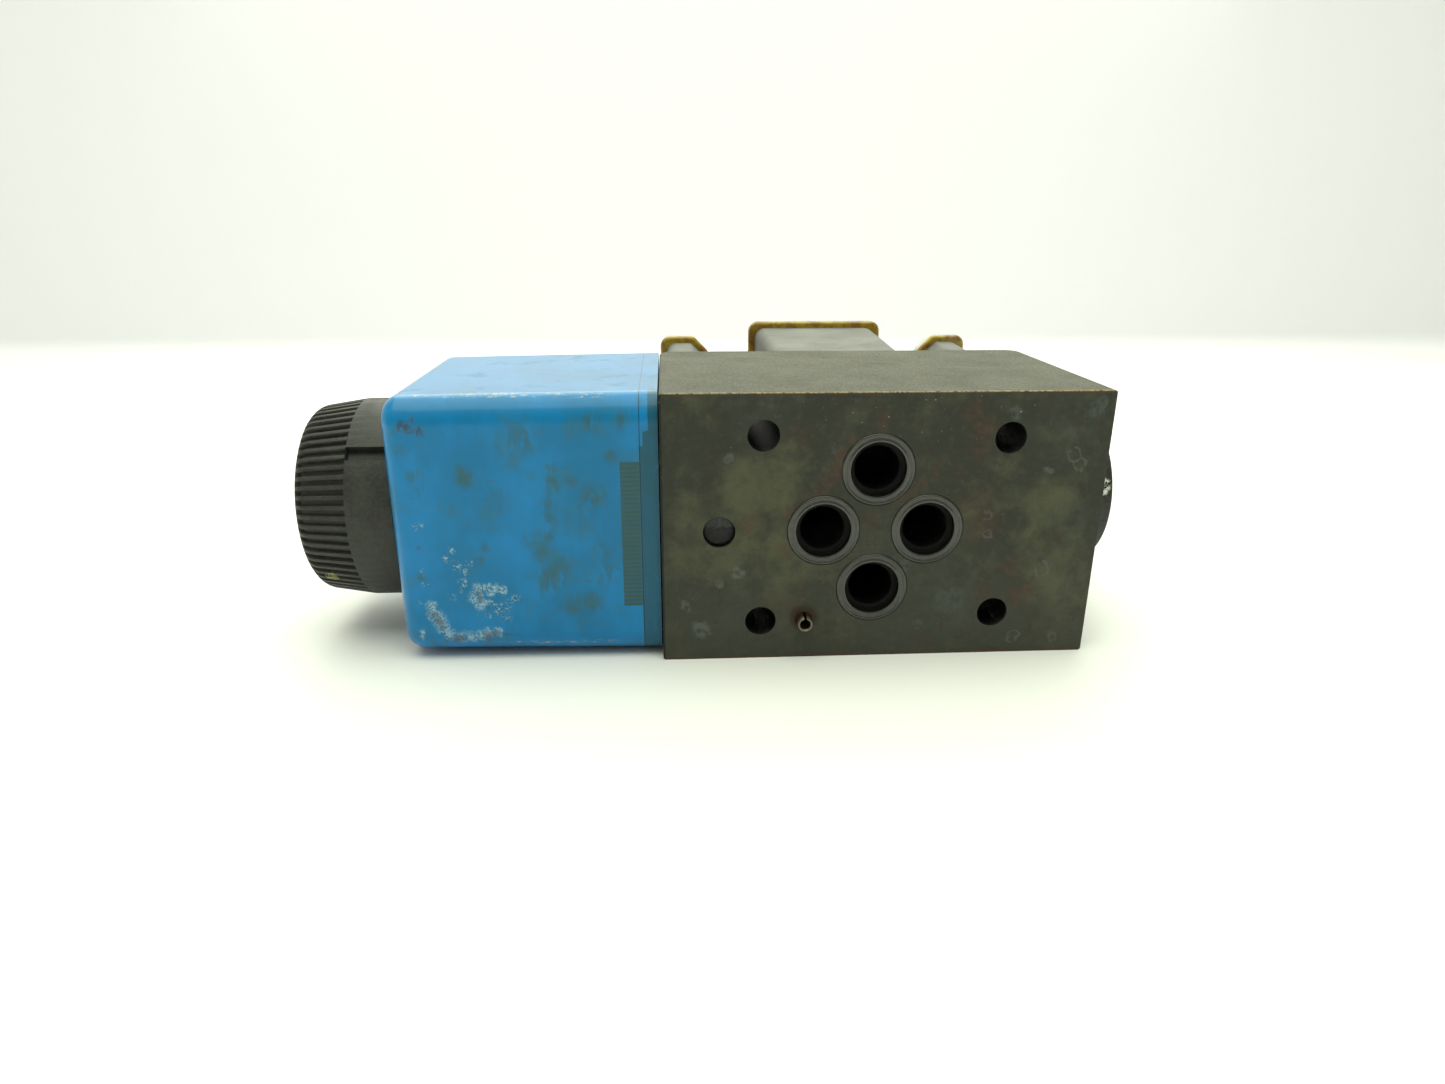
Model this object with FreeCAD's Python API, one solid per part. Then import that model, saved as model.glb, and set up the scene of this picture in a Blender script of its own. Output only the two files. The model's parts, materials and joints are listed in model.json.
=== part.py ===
import FreeCAD, Part
import math
import os

from FreeCAD import Vector

# Single-solenoid, spring-offset directional control valve, size 03 (NG6).
# Frame: X runs along the spool, Y away from the mounting face into the valve, Z across the body.
# The origin is the centre of the bolt pattern, on the mounting face. The valve lies on its side.

# Body
body_length = 74.0
body_width = 46.4
body_height = 46.5
axis_height = 24.0  # spool axis above the mounting face
body_back_radius = 3.0
body_edge_radius = 0.5

# Mounting pattern (standard four-bolt, four-port face)
bolt_x = 20.25
bolt_z_left = 16.25
bolt_z_right = 15.5
bolt_hole_d = 5.3
bolt_head_bore_d = 9.0
bolt_seat_height = 22.0
port_x = {"b": -9.95, "pt": -1.25, "a": 7.55}
port_z = 10.4
port_d = 7.5
port_chamfer = 0.3
seal_bore_d = 12.3
seal_bore_depth = 1.3
seal_inner_d = 9.3
seal_proud = 0.15
seal_edge_radius = 0.3
locating_pin_x = -12.75
locating_pin_z = -16.25
locating_pin_d = 3.0
locating_pin_wall = 0.55
locating_pin_depth = 6.0
locating_pin_proud = 2.0
locating_pin_nose_d = 2.9
locating_pin_slot = 0.5
locating_pin_neck = 0.6  # the taper under the face, from the pressed part to the nose
drain_plug_x = -27.4
drain_plug_d = 5.4
drain_plug_bore_depth = 7.0
drain_plug_recess = 0.9
drain_drilling_d = 2.5

# Spool bore and galleries
spool_d = 12.6
spool_clearance = 0.03  # radial
gallery_d = 20.0
gallery_width = 4.6
gallery_pitch = 8.75
tank_passage_d = 6.0
tank_passage_height = 10.0
tank_passage_z = 9.5

# Spool
spool_stroke = 5.0
spool_groove_d = 7.4
inner_land_width = 5.5
inner_land_opening = 1.6
outer_land_setback = 3.05
right_land_overlap = 1.4
spool_tail = 4.0
spool_nose = 0.7

# Right end: plug, spring and seat
plug_socket_depth = 13.5
plug_thread_depth = 9.0
plug_thread_d = 22.0
plug_head_d = 26.8
plug_head_length = 7.4
plug_head_chamfer = 0.5
plug_wall = 3.0
plug_hex_flats = 10.0
plug_hex_depth = 1.8
spring_chamber_d = 17.0
spring_mean_d = 11.4
spring_wire_d = 1.5
spring_turns = 6
spring_seat_d = 14.6
spring_seat_thickness = 2.0
spring_pilot_d = 8.6
spring_pilot_length = 2.0
spring_seat_bore_d = 1.6

# Left end: tube, pole piece, armature and override pin
tube_socket_d = 24.0
tube_socket_depth = 11.0
tube_outer_d = 19.0
tube_wall = 2.0
tube_past_coil = 12.6
pole_shoulder = 10.0
pole_length = 20.0
spool_tail_chamber_d = 14.4
spool_tail_room = 1.5
push_pin_d = 4.0
push_pin_clearance = 0.05
armature_length = 24.0
armature_clearance = 0.1
armature_bleed_d = 2.4
armature_bleed_r = 4.6
air_gap_washer_thickness = 0.2
air_gap_washer_clearance = 1.5  # radial, inside the core tube
override_pin_d = 4.0
override_pin_proud = 0.8
override_head_d = 6.4
override_head_length = 1.5
override_clearance = 0.06
override_seal_section = 0.5
override_groove_width = 0.7

# Coil
coil_length = 44.2
coil_gap = 0.2
coil_width = 45.6
coil_taper = 1.2  # how much narrower the can is at the nut end
coil_back_gap = 0.5  # between the can's back and the housing that reaches over it
coil_corner_radius = 4.5
coil_end_radius = 3.0
coil_wall = 2.0
coil_end_wall = 2.6
coil_plate_thickness = 3.0
coil_bore_clearance = 0.15
bobbin_wall = 1.3
bobbin_flange_thickness = 1.6
winding_d = 38.0
filler_gap = 0.1

# Coil nut
nut_skirt_d = 36.2
nut_end_d = 33.2
nut_length = 17.3
nut_skirt_length = 8.1
nut_end_round = 2.2
nut_gap = 0.3
nut_ribs = 64
nut_rib_groove_width = 0.9
nut_rib_groove_depth = 0.55
nut_thread_clearance = 0.08
nut_insert_wall = 2.6
nut_insert_length = 8.0
nut_insert_groove_width = 2.0
nut_access_d = 10.0
nut_slot_width = 2.8
nut_slot_depth = 1.5
nut_slot_angle = 40.0
nut_slots = 2

# Wiring box
box_height = 32.5
box_gasket_thickness = 1.0
box_gasket_inset = 0.4
box_half_length = 37.0
box_ear_half_width = 22.0
box_ear_bevel = 3.5
box_pocket_outer_x = 25.6
box_pocket_z = 11.2
box_boss_half_length = 15.9
box_boss_half_width = 25.4
box_corner_radius = 2.4
box_bevel_radius = 1.4
box_pocket_radius = 1.0
rim_overhang = 1.5
box_draft = 0.9
box_wall = 2.2
box_floor = 2.6
cover_gasket_thickness = 2.0
bead_radius = 0.8
cover_thickness = 4.6
cover_inset = 0.25
cover_draft = 0.5
cover_edge_radius = 1.0
cover_recess = 2.0
cover_screw_x = 31.3
cover_screw_z = 15.6
cover_screw_d = 3.6
cover_screw_head_d = 6.6
cover_screw_head_height = 2.4
cover_screw_length = 14.0
conduit_d = 18.5
conduit_boss_d = 25.0
conduit_boss_length = 8.0
conduit_height = 17.0  # above the box floor
conduit_x = 0.0
lead_window_half_width = 5.0
lead_window_height = 8.0
lead_window_sill = 2.4
blank_flange = 1.4
box_screw_x = 7.5
box_screw_z = 16.0
box_screw_d = 3.6
box_screw_head_d = 6.6
box_screw_head_height = 2.4
box_screw_depth = 7.0
nameplate_length = 44.0
nameplate_width = 17.0
nameplate_thickness = 0.5
nameplate_radius = 1.5

# Wiring inside the box
terminal_length = 30.0
terminal_width = 9.0
terminal_height = 10.0
terminal_pitch = 7.0
terminal_count = 4
terminal_screw_d = 3.4
terminal_screw_sink = 1.0
terminal_slot_depth = 1.0
terminal_mouth_d = 4.2
terminal_mouth_depth = 3.2
terminal_leg = 3.0
terminal_lift = 1.0
wire_height = 3.4
slot_width = 0.8
earth_screw_x = 21.0
earth_screw_d = 5.6
earth_screw_reach = 2.0
earth_head_height = 2.2
lead_house_length = 13.0
lead_house_width = 17.0
lead_opening_length = 6.5
lead_opening_width = 11.0
lead_house_brim = 1.4  # how far it stands above its window
lead_house_radius = 2.5
lead_house_gap = 0.4
lead_tongue_length = 5.4
spade_width = 4.0
spade_thickness = 0.8
spade_length = 5.0
spade_z = 3.2
lead_d = 1.5
lead_bow = 5.0  # how far a lead swings out beside the strip

# General clearances and small features
fit_gap = 0.05
near = 0.1  # how close an edge is to a plane to count as on it
socket_share = 0.55  # how deep a cap screw's hexagon socket is in its head
socket_flats = 3.0
static_seal_d = 1.35  # the O-rings of the end plug and the core tube
static_groove_depth = 1.45
static_groove_width = 2.2
static_groove_setback = 1.8
nut_seal_d = 1.45
nut_seal_room_depth = 1.6
nut_seal_room_width = 2.4
balance_groove_depth = 0.3
balance_groove_width = 0.4
small_chamfer = 0.4

# Places worked out from the sizes above
left_face = -body_length / 2
right_face = body_length / 2
bore_left = left_face + tube_socket_depth
bore_right = right_face - plug_socket_depth
centre_x = port_x["pt"]
gallery_x = [centre_x + n * gallery_pitch for n in (-2, -1, 0, 1, 2)]
coil_right = left_face - coil_gap
coil_left = coil_right - coil_length
coil_plate_left = coil_right - coil_plate_thickness
coil_axis = axis_height
tube_r = tube_outer_d / 2
tube_inner_r = tube_r - tube_wall
tube_end = coil_left - tube_past_coil
pole_neck_end = left_face - pole_shoulder
pole_face = left_face - pole_length
spool_left = bore_left - spool_tail
spool_right = bore_right + spool_nose
armature_right = pole_face - air_gap_washer_thickness - spool_stroke
armature_left = armature_right - armature_length
nut_face = coil_left - nut_gap
nut_end = nut_face - nut_length
plug_end = right_face + plug_head_length
spring_left = spool_right + spring_seat_thickness
spring_right = plug_end - plug_wall
box_bottom = body_height + box_gasket_thickness
box_top = box_bottom + box_height
cover_bottom = box_top + cover_gasket_thickness
cover_top = cover_bottom + cover_thickness
lead_window_low = box_bottom + box_floor + lead_window_sill
coil_back_reach = lead_window_low - lead_house_gap - coil_back_gap - coil_axis
conduit_y = box_bottom + conduit_height
ports = {
    "p": (port_x["pt"], -port_z),
    "t": (port_x["pt"], port_z),
    "a": (port_x["a"], 0.0),
    "b": (port_x["b"], 0.0),
}
bolt_places = [
    (-bolt_x, bolt_z_left),
    (-bolt_x, -bolt_z_left),
    (bolt_x, bolt_z_right),
    (bolt_x, -bolt_z_right),
]


# Shapes that many pieces use
def rod(radius, x0, x1, y=axis_height, z=0.0):
    """A cylinder along X."""
    return Part.makeCylinder(radius, x1 - x0, Vector(x0, y, z), Vector(1, 0, 0))


def post(radius, y0, y1, x, z):
    """A cylinder along Y."""
    return Part.makeCylinder(radius, y1 - y0, Vector(x, y0, z), Vector(0, 1, 0))


def bar(radius, z0, z1, x, y):
    """A cylinder along Z."""
    return Part.makeCylinder(radius, z1 - z0, Vector(x, y, z0), Vector(0, 0, 1))


def block(x0, x1, y0, y1, z0, z1):
    return Part.makeBox(x1 - x0, y1 - y0, z1 - z0, Vector(x0, y0, z0))


def sleeve(outer_r, inner_r, x0, x1):
    """A tube along the spool axis."""
    return rod(outer_r, x0, x1).cut(rod(inner_r, x0 - 1, x1 + 1))


def turned(profile):
    """A solid of revolution about the spool axis, from (x, radius) corners."""
    points = [Vector(x, axis_height + r, 0) for x, r in profile]
    face = Part.Face(Part.makePolygon(points + points[:1]))
    return face.revolve(Vector(0, axis_height, 0), Vector(1, 0, 0), 360)


def o_ring_x(inside_r, section_d, x):
    """An O-ring round the spool axis whose section is centred at x."""
    r = section_d / 2
    return Part.makeTorus(inside_r + r, r, Vector(x, axis_height, 0), Vector(1, 0, 0))


def hexagon(flats, y0, y1, x, z):
    """A hexagonal prism along Y."""
    r = flats / math.sqrt(3)
    turns = [math.radians(60 * k) for k in range(7)]
    points = [Vector(x + r * math.cos(t), y0, z + r * math.sin(t)) for t in turns]
    return Part.Face(Part.makePolygon(points)).extrude(Vector(0, y1 - y0, 0))


def hexagon_x(flats, x0, x1):
    """A hexagonal prism along the spool axis."""
    r = flats / math.sqrt(3)
    turns = [math.radians(60 * k) for k in range(7)]
    points = [Vector(x0, axis_height + r * math.cos(t), r * math.sin(t)) for t in turns]
    return Part.Face(Part.makePolygon(points)).extrude(Vector(x1 - x0, 0, 0))


def rounded_loop(corners):
    """A closed wire through corners of (point, radius), each rounded by its radius."""
    edges, ends = [], []
    count = len(corners)
    for k, (point, radius) in enumerate(corners):
        before = corners[k - 1][0]
        after = corners[(k + 1) % count][0]
        u = (before - point).normalize()
        v = (after - point).normalize()
        half = u.getAngle(v) / 2
        back = radius / math.tan(half)
        middle = point + (u + v).normalize() * (radius / math.sin(half) - radius)
        ends.append((point + u * back, point + v * back))
        edges.append(Part.Arc(ends[-1][0], middle, ends[-1][1]).toShape())
    for k in range(count):
        start = ends[k - 1][1]
        finish = ends[k][0]
        edges.insert(2 * k, Part.LineSegment(start, finish).toShape())
    return Part.Wire(edges)


def edges_along(shape, direction, test):
    """The straight edges that run along direction and whose middle passes test."""
    found = []
    for edge in shape.Edges:
        if edge.Curve.TypeId != "Part::GeomLine":
            continue
        run = (edge.Vertexes[-1].Point - edge.Vertexes[0].Point).normalize()
        if abs(run.dot(direction)) > 0.999 and test(edge.CenterOfMass):
            found.append(edge)
    return found


def screw_y(shank_d, head_d, head_height, seat, length, x, z):
    """A cap screw along Y: its head stands above seat and its shank goes below."""
    head = post(head_d / 2, seat, seat + head_height, x, z)
    shank = post(shank_d / 2, seat - length, seat, x, z)
    top = seat + head_height
    socket = hexagon(socket_flats, top - head_height * socket_share, top + 1, x, z)
    return head.fuse(shank).cut(socket).removeSplitter()


# Pieces of the body
def make_body():
    half = body_width / 2
    body = block(left_face, right_face, 0, body_height, -half, half)
    back = edges_along(body, Vector(0, 0, 1), lambda c: c.y > body_height / 2)
    body = body.makeFillet(body_back_radius, back)
    sides = edges_along(body, Vector(0, 1, 0), lambda c: True)
    body = body.makeFillet(body_edge_radius, sides)

    bore = rod(spool_d / 2 + spool_clearance, bore_left - 1, bore_right + 1)
    cuts = [bore]
    cuts.append(rod(tube_socket_d / 2, left_face - 1, bore_left))
    cuts.append(rod(spring_chamber_d / 2, bore_right, right_face + 1))
    thread_start = right_face - plug_thread_depth
    cuts.append(rod(plug_thread_d / 2, thread_start, right_face + 1))
    for x in gallery_x:
        cuts.append(rod(gallery_d / 2, x - gallery_width / 2, x + gallery_width / 2))

    for name, (x, z) in ports.items():
        top = tank_passage_height if name == "t" else axis_height - spool_d / 2
        top = axis_height if name == "p" else top
        cuts.append(post(port_d / 2, -1, top, x, z))
        cuts.append(post(seal_bore_d / 2, -1, seal_bore_depth, x, z))
        mouth = Vector(x, seal_bore_depth, z)
        wide = port_d / 2 + port_chamfer
        cuts.append(Part.makeCone(wide, port_d / 2, port_chamfer, mouth, Vector(0, 1, 0)))

    passage_r = tank_passage_d / 2
    tank_ends = (gallery_x[0], gallery_x[-1])
    cuts.append(rod(passage_r, *tank_ends, tank_passage_height, tank_passage_z))
    for x in tank_ends:
        start = Vector(x, tank_passage_height, tank_passage_z)
        reach = Vector(x, axis_height, 0) - start
        length = reach.Length - spool_d / 2
        width = min(passage_r, gallery_width / 2)
        cuts.append(Part.makeCylinder(width, length, start, reach))
        cuts.append(Part.makeSphere(passage_r, start))

    for x, z in bolt_places:
        cuts.append(post(bolt_hole_d / 2, -1, body_height + 1, x, z))
        cuts.append(post(bolt_head_bore_d / 2, bolt_seat_height, body_height + 1, x, z))

    pin_r = locating_pin_d / 2
    cuts.append(post(pin_r, -1, locating_pin_depth, locating_pin_x, locating_pin_z))
    cuts.append(post(drain_plug_d / 2, -1, drain_plug_bore_depth, drain_plug_x, 0))
    cuts.append(post(drain_drilling_d / 2, -1, axis_height, drain_plug_x, 0))
    for x, z in box_screw_places():
        bottom = body_height - box_screw_depth
        cuts.append(post(box_screw_d / 2, bottom, body_height + 1, x, z))
    return body.cut(cuts)


def box_screw_places():
    return [(a * box_screw_x, b * box_screw_z) for a in (-1, 1) for b in (-1, 1)]


def make_port_seals():
    """Square-section rings, one in each port's counterbore, standing a little proud."""
    outer = seal_bore_d / 2 - fit_gap
    rings = []
    for x, z in ports.values():
        ring = post(outer, -seal_proud, seal_bore_depth, x, z)
        ring = ring.cut(post(seal_inner_d / 2, -1, seal_bore_depth + 1, x, z))
        round_edges = [e for e in ring.Edges if e.Closed and e.CenterOfMass.y < 0]
        rings.append(ring.makeFillet(seal_edge_radius, round_edges))
    return Part.makeCompound(rings)


def make_locating_pin():
    r = locating_pin_d / 2
    x, z = locating_pin_x, locating_pin_z
    bottom = -locating_pin_proud
    nose_r = locating_pin_nose_d / 2
    nose = post(nose_r, bottom, 0, x, z)
    neck = Part.makeCone(nose_r, r, locating_pin_neck, Vector(x, 0, z), Vector(0, 1, 0))
    pressed = post(r, locating_pin_neck, locating_pin_depth, x, z)
    pin = nose.fuse([neck, pressed])
    tip = [e for e in pin.Edges if e.Closed and e.CenterOfMass.y < bottom / 2]
    pin = pin.makeChamfer(locating_pin_wall / 2, tip)
    pin = pin.cut(post(r - locating_pin_wall, bottom - 1, locating_pin_depth + 1, x, z))
    half = locating_pin_slot / 2
    slot = block(x - half, x + half, bottom - 1, locating_pin_depth + 1, z, z + 2 * r)
    return pin.cut(slot)


def make_drain_plug():
    """A pressed-in plug, sunk a little below the mounting face."""
    r = drain_plug_d / 2
    plug = post(r, drain_plug_recess, drain_plug_bore_depth, drain_plug_x, 0)
    rim = [e for e in plug.Edges if e.Closed and e.CenterOfMass.y < drain_plug_recess + near]
    return plug.makeChamfer(small_chamfer, rim)


# Pieces at the right end
def make_end_plug():
    thread_r = plug_thread_d / 2 - fit_gap
    head_r = plug_head_d / 2
    start = right_face - plug_thread_depth + fit_gap
    plug = rod(thread_r, start, right_face).fuse(rod(head_r, right_face, plug_end))
    plug = plug.removeSplitter()
    rims = [e for e in plug.Edges if e.Closed and e.CenterOfMass.x > right_face - near]
    rims = [e for e in rims if e.Length > math.pi * 2 * (head_r - near)]
    plug = plug.makeChamfer(plug_head_chamfer, rims)
    cavity = rod(spring_chamber_d / 2, start - 1, spring_right)
    socket = hexagon_x(plug_hex_flats, plug_end - plug_hex_depth, plug_end + 1)
    groove = sleeve(thread_r + 1, thread_r - static_groove_depth, *plug_seal_span())
    return plug.cut([cavity, socket, groove])


def groove_span(face):
    """Where the O-ring groove beside a face starts and ends."""
    middle = face - static_groove_setback
    return middle - static_groove_width / 2, middle + static_groove_width / 2


def plug_seal_span():
    return groove_span(right_face)


def make_end_plug_seal():
    low, high = plug_seal_span()
    inside_r = plug_thread_d / 2 - fit_gap - static_seal_d
    return o_ring_x(inside_r, static_seal_d, (low + high) / 2)


def make_return_spring():
    """A helical spring with its ends ground flat, along the spool axis."""
    length = spring_right - spring_left
    pitch = length / spring_turns
    extra = spring_wire_d / 2
    helix = Part.makeHelix(pitch, length + 2 * extra, spring_mean_d / 2)
    start = Vector(spring_mean_d / 2, 0, 0)
    lead = Vector(0, spring_mean_d * math.pi, pitch)
    section = Part.makeCircle(spring_wire_d / 2, start, lead)
    coil = Part.Wire(helix.Edges).makePipeShell([Part.Wire([section])], True, True)
    coil.rotate(Vector(0, 0, 0), Vector(0, 1, 0), 90)
    coil.translate(Vector(spring_left - extra, axis_height, 0))
    trim = rod(spring_mean_d, spring_left, spring_right)
    return coil.common(trim)


def make_spring_seat():
    """The flanged washer between the spool and the spring."""
    inner_r = spring_pilot_d / 2
    return turned(
        [
            (spool_right, spring_seat_bore_d / 2),
            (spool_right, spring_seat_d / 2),
            (spring_left, spring_seat_d / 2),
            (spring_left, inner_r),
            (spring_left + spring_pilot_length, inner_r),
            (spring_left + spring_pilot_length, spring_seat_bore_d / 2),
        ]
    )


# Pieces that slide along the axis
def inner_lands():
    """The two middle lands, placed so that each opens one gallery and closes the next."""
    half = gallery_width / 2
    a_land_end = gallery_x[4] - gallery_pitch + half - inner_land_opening
    b_land_end = gallery_x[2] - gallery_pitch + half - inner_land_opening
    return [(end - inner_land_width, end) for end in (b_land_end, a_land_end)]


def make_spool():
    groove_r = spool_groove_d / 2
    land_r = spool_d / 2
    tank_left = gallery_x[0] - gallery_width / 2
    left_land_end = tank_left - outer_land_setback
    right_land_start = gallery_x[4] + gallery_width / 2 - right_land_overlap
    lands = [(spool_left, left_land_end), *inner_lands(), (right_land_start, spool_right)]
    spool = rod(groove_r, spool_left, spool_right)
    for x0, x1 in lands:
        land = rod(land_r, x0, x1)
        for x in ((2 * x0 + x1) / 3, (x0 + 2 * x1) / 3):
            sides = (x - balance_groove_width / 2, x + balance_groove_width / 2)
            land = land.cut(sleeve(land_r + 1, land_r - balance_groove_depth, *sides))
        spool = spool.fuse(land)
    return spool.removeSplitter()


def make_push_pin():
    pin = rod(push_pin_d / 2, armature_right, spool_left)
    ends = [e for e in pin.Edges if e.Closed]
    return pin.makeChamfer(small_chamfer, ends)


def make_armature():
    r = tube_inner_r - armature_clearance
    armature = rod(r, armature_left, armature_right)
    ends = [e for e in armature.Edges if e.Closed]
    armature = armature.makeChamfer(small_chamfer, ends)
    for side in (-1, 1):
        y = axis_height + side * armature_bleed_r
        bleed = rod(armature_bleed_d / 2, armature_left - 1, armature_right + 1, y)
        armature = armature.cut(bleed)
    return armature


def make_override_pin():
    r = override_pin_d / 2
    head_r = override_head_d / 2
    outer = tube_end - override_pin_proud
    head_start = armature_left - override_head_length
    pin = turned(
        [
            (outer, 0),
            (outer, r - small_chamfer),
            (outer + small_chamfer, r),
            (head_start, r),
            (head_start, head_r),
            (armature_left, head_r),
            (armature_left, 0),
        ]
    )
    low, high = override_seal_span()
    return pin.cut(sleeve(r + 1, override_seal_inner_r() - fit_gap, low, high))


def override_seal_span():
    middle = (tube_end + armature_left) / 2
    return middle - override_groove_width / 2, middle + override_groove_width / 2


def override_seal_inner_r():
    return override_pin_d / 2 + override_clearance - fit_gap - override_seal_section


def make_override_seal():
    low, high = override_seal_span()
    return o_ring_x(override_seal_inner_r(), override_seal_section, (low + high) / 2)


# Core tube
def make_pole_piece():
    socket_r = tube_socket_d / 2 - fit_gap
    insert_r = tube_inner_r - fit_gap
    inner = bore_left - fit_gap
    piece = turned(
        [
            (inner, 0),
            (inner, socket_r),
            (left_face, socket_r),
            (left_face, tube_r),
            (pole_neck_end, tube_r),
            (pole_neck_end, insert_r),
            (pole_face, insert_r),
            (pole_face, 0),
        ]
    )
    chamber_end = spool_left - spool_tail_room
    chamber = rod(spool_tail_chamber_d / 2, chamber_end, bore_left + 1)
    pin_hole = rod(push_pin_d / 2 + push_pin_clearance, pole_face - 1, bore_left + 1)
    low, high = tube_seal_span()
    groove = sleeve(socket_r + 1, socket_r - static_groove_depth, low, high)
    return piece.cut([chamber, pin_hole, groove])


def tube_seal_span():
    return groove_span(bore_left)


def make_tube_seal():
    low, high = tube_seal_span()
    inside_r = tube_socket_d / 2 - fit_gap - static_seal_d
    return o_ring_x(inside_r, static_seal_d, (low + high) / 2)


def make_core_tube():
    tube = sleeve(tube_r, tube_inner_r, tube_end, pole_neck_end)
    rim = [e for e in tube.Edges if e.Closed and e.CenterOfMass.x < tube_end + near]
    outer = [e for e in rim if e.Length > 2 * math.pi * (tube_r - near)]
    return tube.makeChamfer(tube_wall / 4, outer)


def make_tube_end_plug():
    r = tube_inner_r - fit_gap
    plug = rod(r, tube_end + tube_wall / 4, armature_left)
    hole = rod(override_pin_d / 2 + override_clearance, tube_end - 1, armature_left + 1)
    head_room = override_head_length + override_clearance
    head_r = override_head_d / 2 + override_clearance
    pocket = rod(head_r, armature_left - head_room, armature_left + 1)
    return plug.cut([hole, pocket])


def make_air_gap_washer():
    outer = tube_inner_r - air_gap_washer_clearance
    inner = push_pin_d / 2 + push_pin_clearance * 4
    return sleeve(outer, inner, pole_face - air_gap_washer_thickness, pole_face)


# Coil
def coil_half(x):
    """Half the can's width at x: it tapers towards the nut."""
    share = (coil_right - x) / coil_length
    return coil_width / 2 - share * coil_taper / 2


def coil_back(x):
    """The height of the can's back face at x."""
    return coil_axis + coil_back_reach - coil_width / 2 + coil_half(x)


def coil_section(x, inset, radius):
    """A loop across X, inset from the can's outside, with rounded corners."""
    half = coil_half(x) - inset
    low = coil_axis - half
    high = coil_back(x) - inset
    corners = ((high, half), (high, -half), (low, -half), (low, half))
    return rounded_loop([(Vector(x, y, z), radius) for y, z in corners])


def coil_bore_r():
    return tube_r + coil_bore_clearance


def make_coil_can():
    ends = (coil_left, coil_plate_left)
    loops = [coil_section(x, 0, coil_corner_radius) for x in ends]
    can = Part.makeLoft(loops, True, True)
    end_edges = [e for e in can.Edges if abs(e.CenterOfMass.x - coil_left) < near]
    can = can.makeFillet(coil_end_radius, end_edges)
    inside = coil_left + coil_end_wall
    hollow_radius = coil_corner_radius - coil_wall
    spans = (inside, coil_plate_left + near)
    hollows = [coil_section(x, coil_wall, hollow_radius) for x in spans]
    hollow = Part.makeLoft(hollows, True, True)
    bore = rod(coil_bore_r(), coil_left - 1, coil_plate_left)
    return can.cut([hollow, bore, lead_opening()])


def lead_opening():
    """The hole in the can's back wall where the lead housing stands."""
    x1 = coil_plate_left - 1
    x0 = x1 - lead_opening_length
    half = lead_opening_width / 2
    top = coil_back(coil_right)
    return block(x0, x1, top - coil_wall * 2, top + 1, -half, half)


def make_coil_plate():
    ends = (coil_plate_left, coil_right)
    loops = [coil_section(x, 0, coil_corner_radius) for x in ends]
    plate = Part.makeLoft(loops, True, True)
    return plate.cut(rod(coil_bore_r(), coil_plate_left - 1, coil_right + 1))


def coil_inside():
    """Where the bobbin starts and ends along X."""
    return coil_left + coil_end_wall, coil_plate_left


def make_bobbin():
    x0, x1 = coil_inside()
    inner = coil_bore_r()
    flange_r = winding_d / 2
    bobbin = rod(inner + bobbin_wall, x0, x1)
    bobbin = bobbin.fuse(rod(flange_r, x0, x0 + bobbin_flange_thickness))
    bobbin = bobbin.fuse(rod(flange_r, x1 - bobbin_flange_thickness, x1))
    return bobbin.cut(rod(inner, x0 - 1, x1 + 1)).removeSplitter()


def make_winding():
    x0, x1 = coil_inside()
    inner = coil_bore_r() + bobbin_wall + filler_gap
    outer = winding_d / 2 - bobbin_wall
    gap = bobbin_flange_thickness + filler_gap
    return sleeve(outer, inner, x0 + gap, x1 - gap)


def make_filler():
    """The resin between the winding and the can."""
    x0, x1 = coil_inside()
    x0 += filler_gap
    x1 -= filler_gap
    inset = coil_wall + filler_gap
    radius = coil_corner_radius - coil_wall
    loops = [coil_section(x, inset, radius) for x in (x0, x1)]
    resin = Part.makeLoft(loops, True, True)
    return resin.cut(rod(winding_d / 2 + filler_gap, x0 - 1, x1 + 1))


# Coil nut
def nut_profile():
    """The nut's outside, from the coil to its end."""
    skirt_end = nut_face - nut_skirt_length
    return skirt_end, nut_skirt_d / 2, nut_end_d / 2


def nut_insert_span():
    start = tube_end + tube_wall
    return start, start + nut_insert_length


def make_coil_nut():
    skirt_end, skirt_r, end_r = nut_profile()
    body = turned(
        [
            (nut_face, 0),
            (nut_face, skirt_r),
            (skirt_end, skirt_r),
            (nut_end, end_r),
            (nut_end, 0),
        ]
    )
    rim = [e for e in body.Edges if e.Closed and e.CenterOfMass.x < nut_end + near]
    body = body.makeFillet(nut_end_round, rim)

    lean = math.degrees(math.atan2(skirt_r - end_r, skirt_end - nut_end))
    low = axis_height + skirt_r - nut_rib_groove_depth
    half = nut_rib_groove_width / 2
    groove = block(nut_end - 1, skirt_end, low, low + 1, -half, half)
    groove.rotate(Vector(skirt_end, low, 0), Vector(0, 0, 1), lean)
    centre, along = Vector(0, axis_height, 0), Vector(1, 0, 0)
    grooves = []
    for k in range(nut_ribs):
        copy = groove.copy()
        copy.rotate(centre, along, 360 * k / nut_ribs)
        grooves.append(copy)
    body = body.cut(grooves)

    slot = block(skirt_end, nut_face + 1, axis_height + skirt_r - nut_slot_depth,
                 axis_height + skirt_r + 1, -nut_slot_width / 2, nut_slot_width / 2)
    for k in range(nut_slots):
        copy = slot.copy()
        turn = 180 - nut_slot_angle + 360 * k / nut_slots
        copy.rotate(centre, along, turn)
        body = body.cut(copy)

    insert_start, insert_end = nut_insert_span()
    insert_r = tube_r + nut_thread_clearance + nut_insert_wall
    bore_r = tube_r + nut_thread_clearance
    seal_room = nut_face - nut_seal_room_depth
    seal_r = bore_r + nut_seal_room_width
    return body.cut(
        [
            rod(nut_access_d / 2, nut_end - 1, nut_face + 1),
            rod(bore_r, tube_end - 1, nut_face + 1),
            rod(insert_r + fit_gap, insert_start - fit_gap, insert_end + fit_gap),
            rod(seal_r, seal_room, nut_face + 1),
        ]
    )


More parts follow.
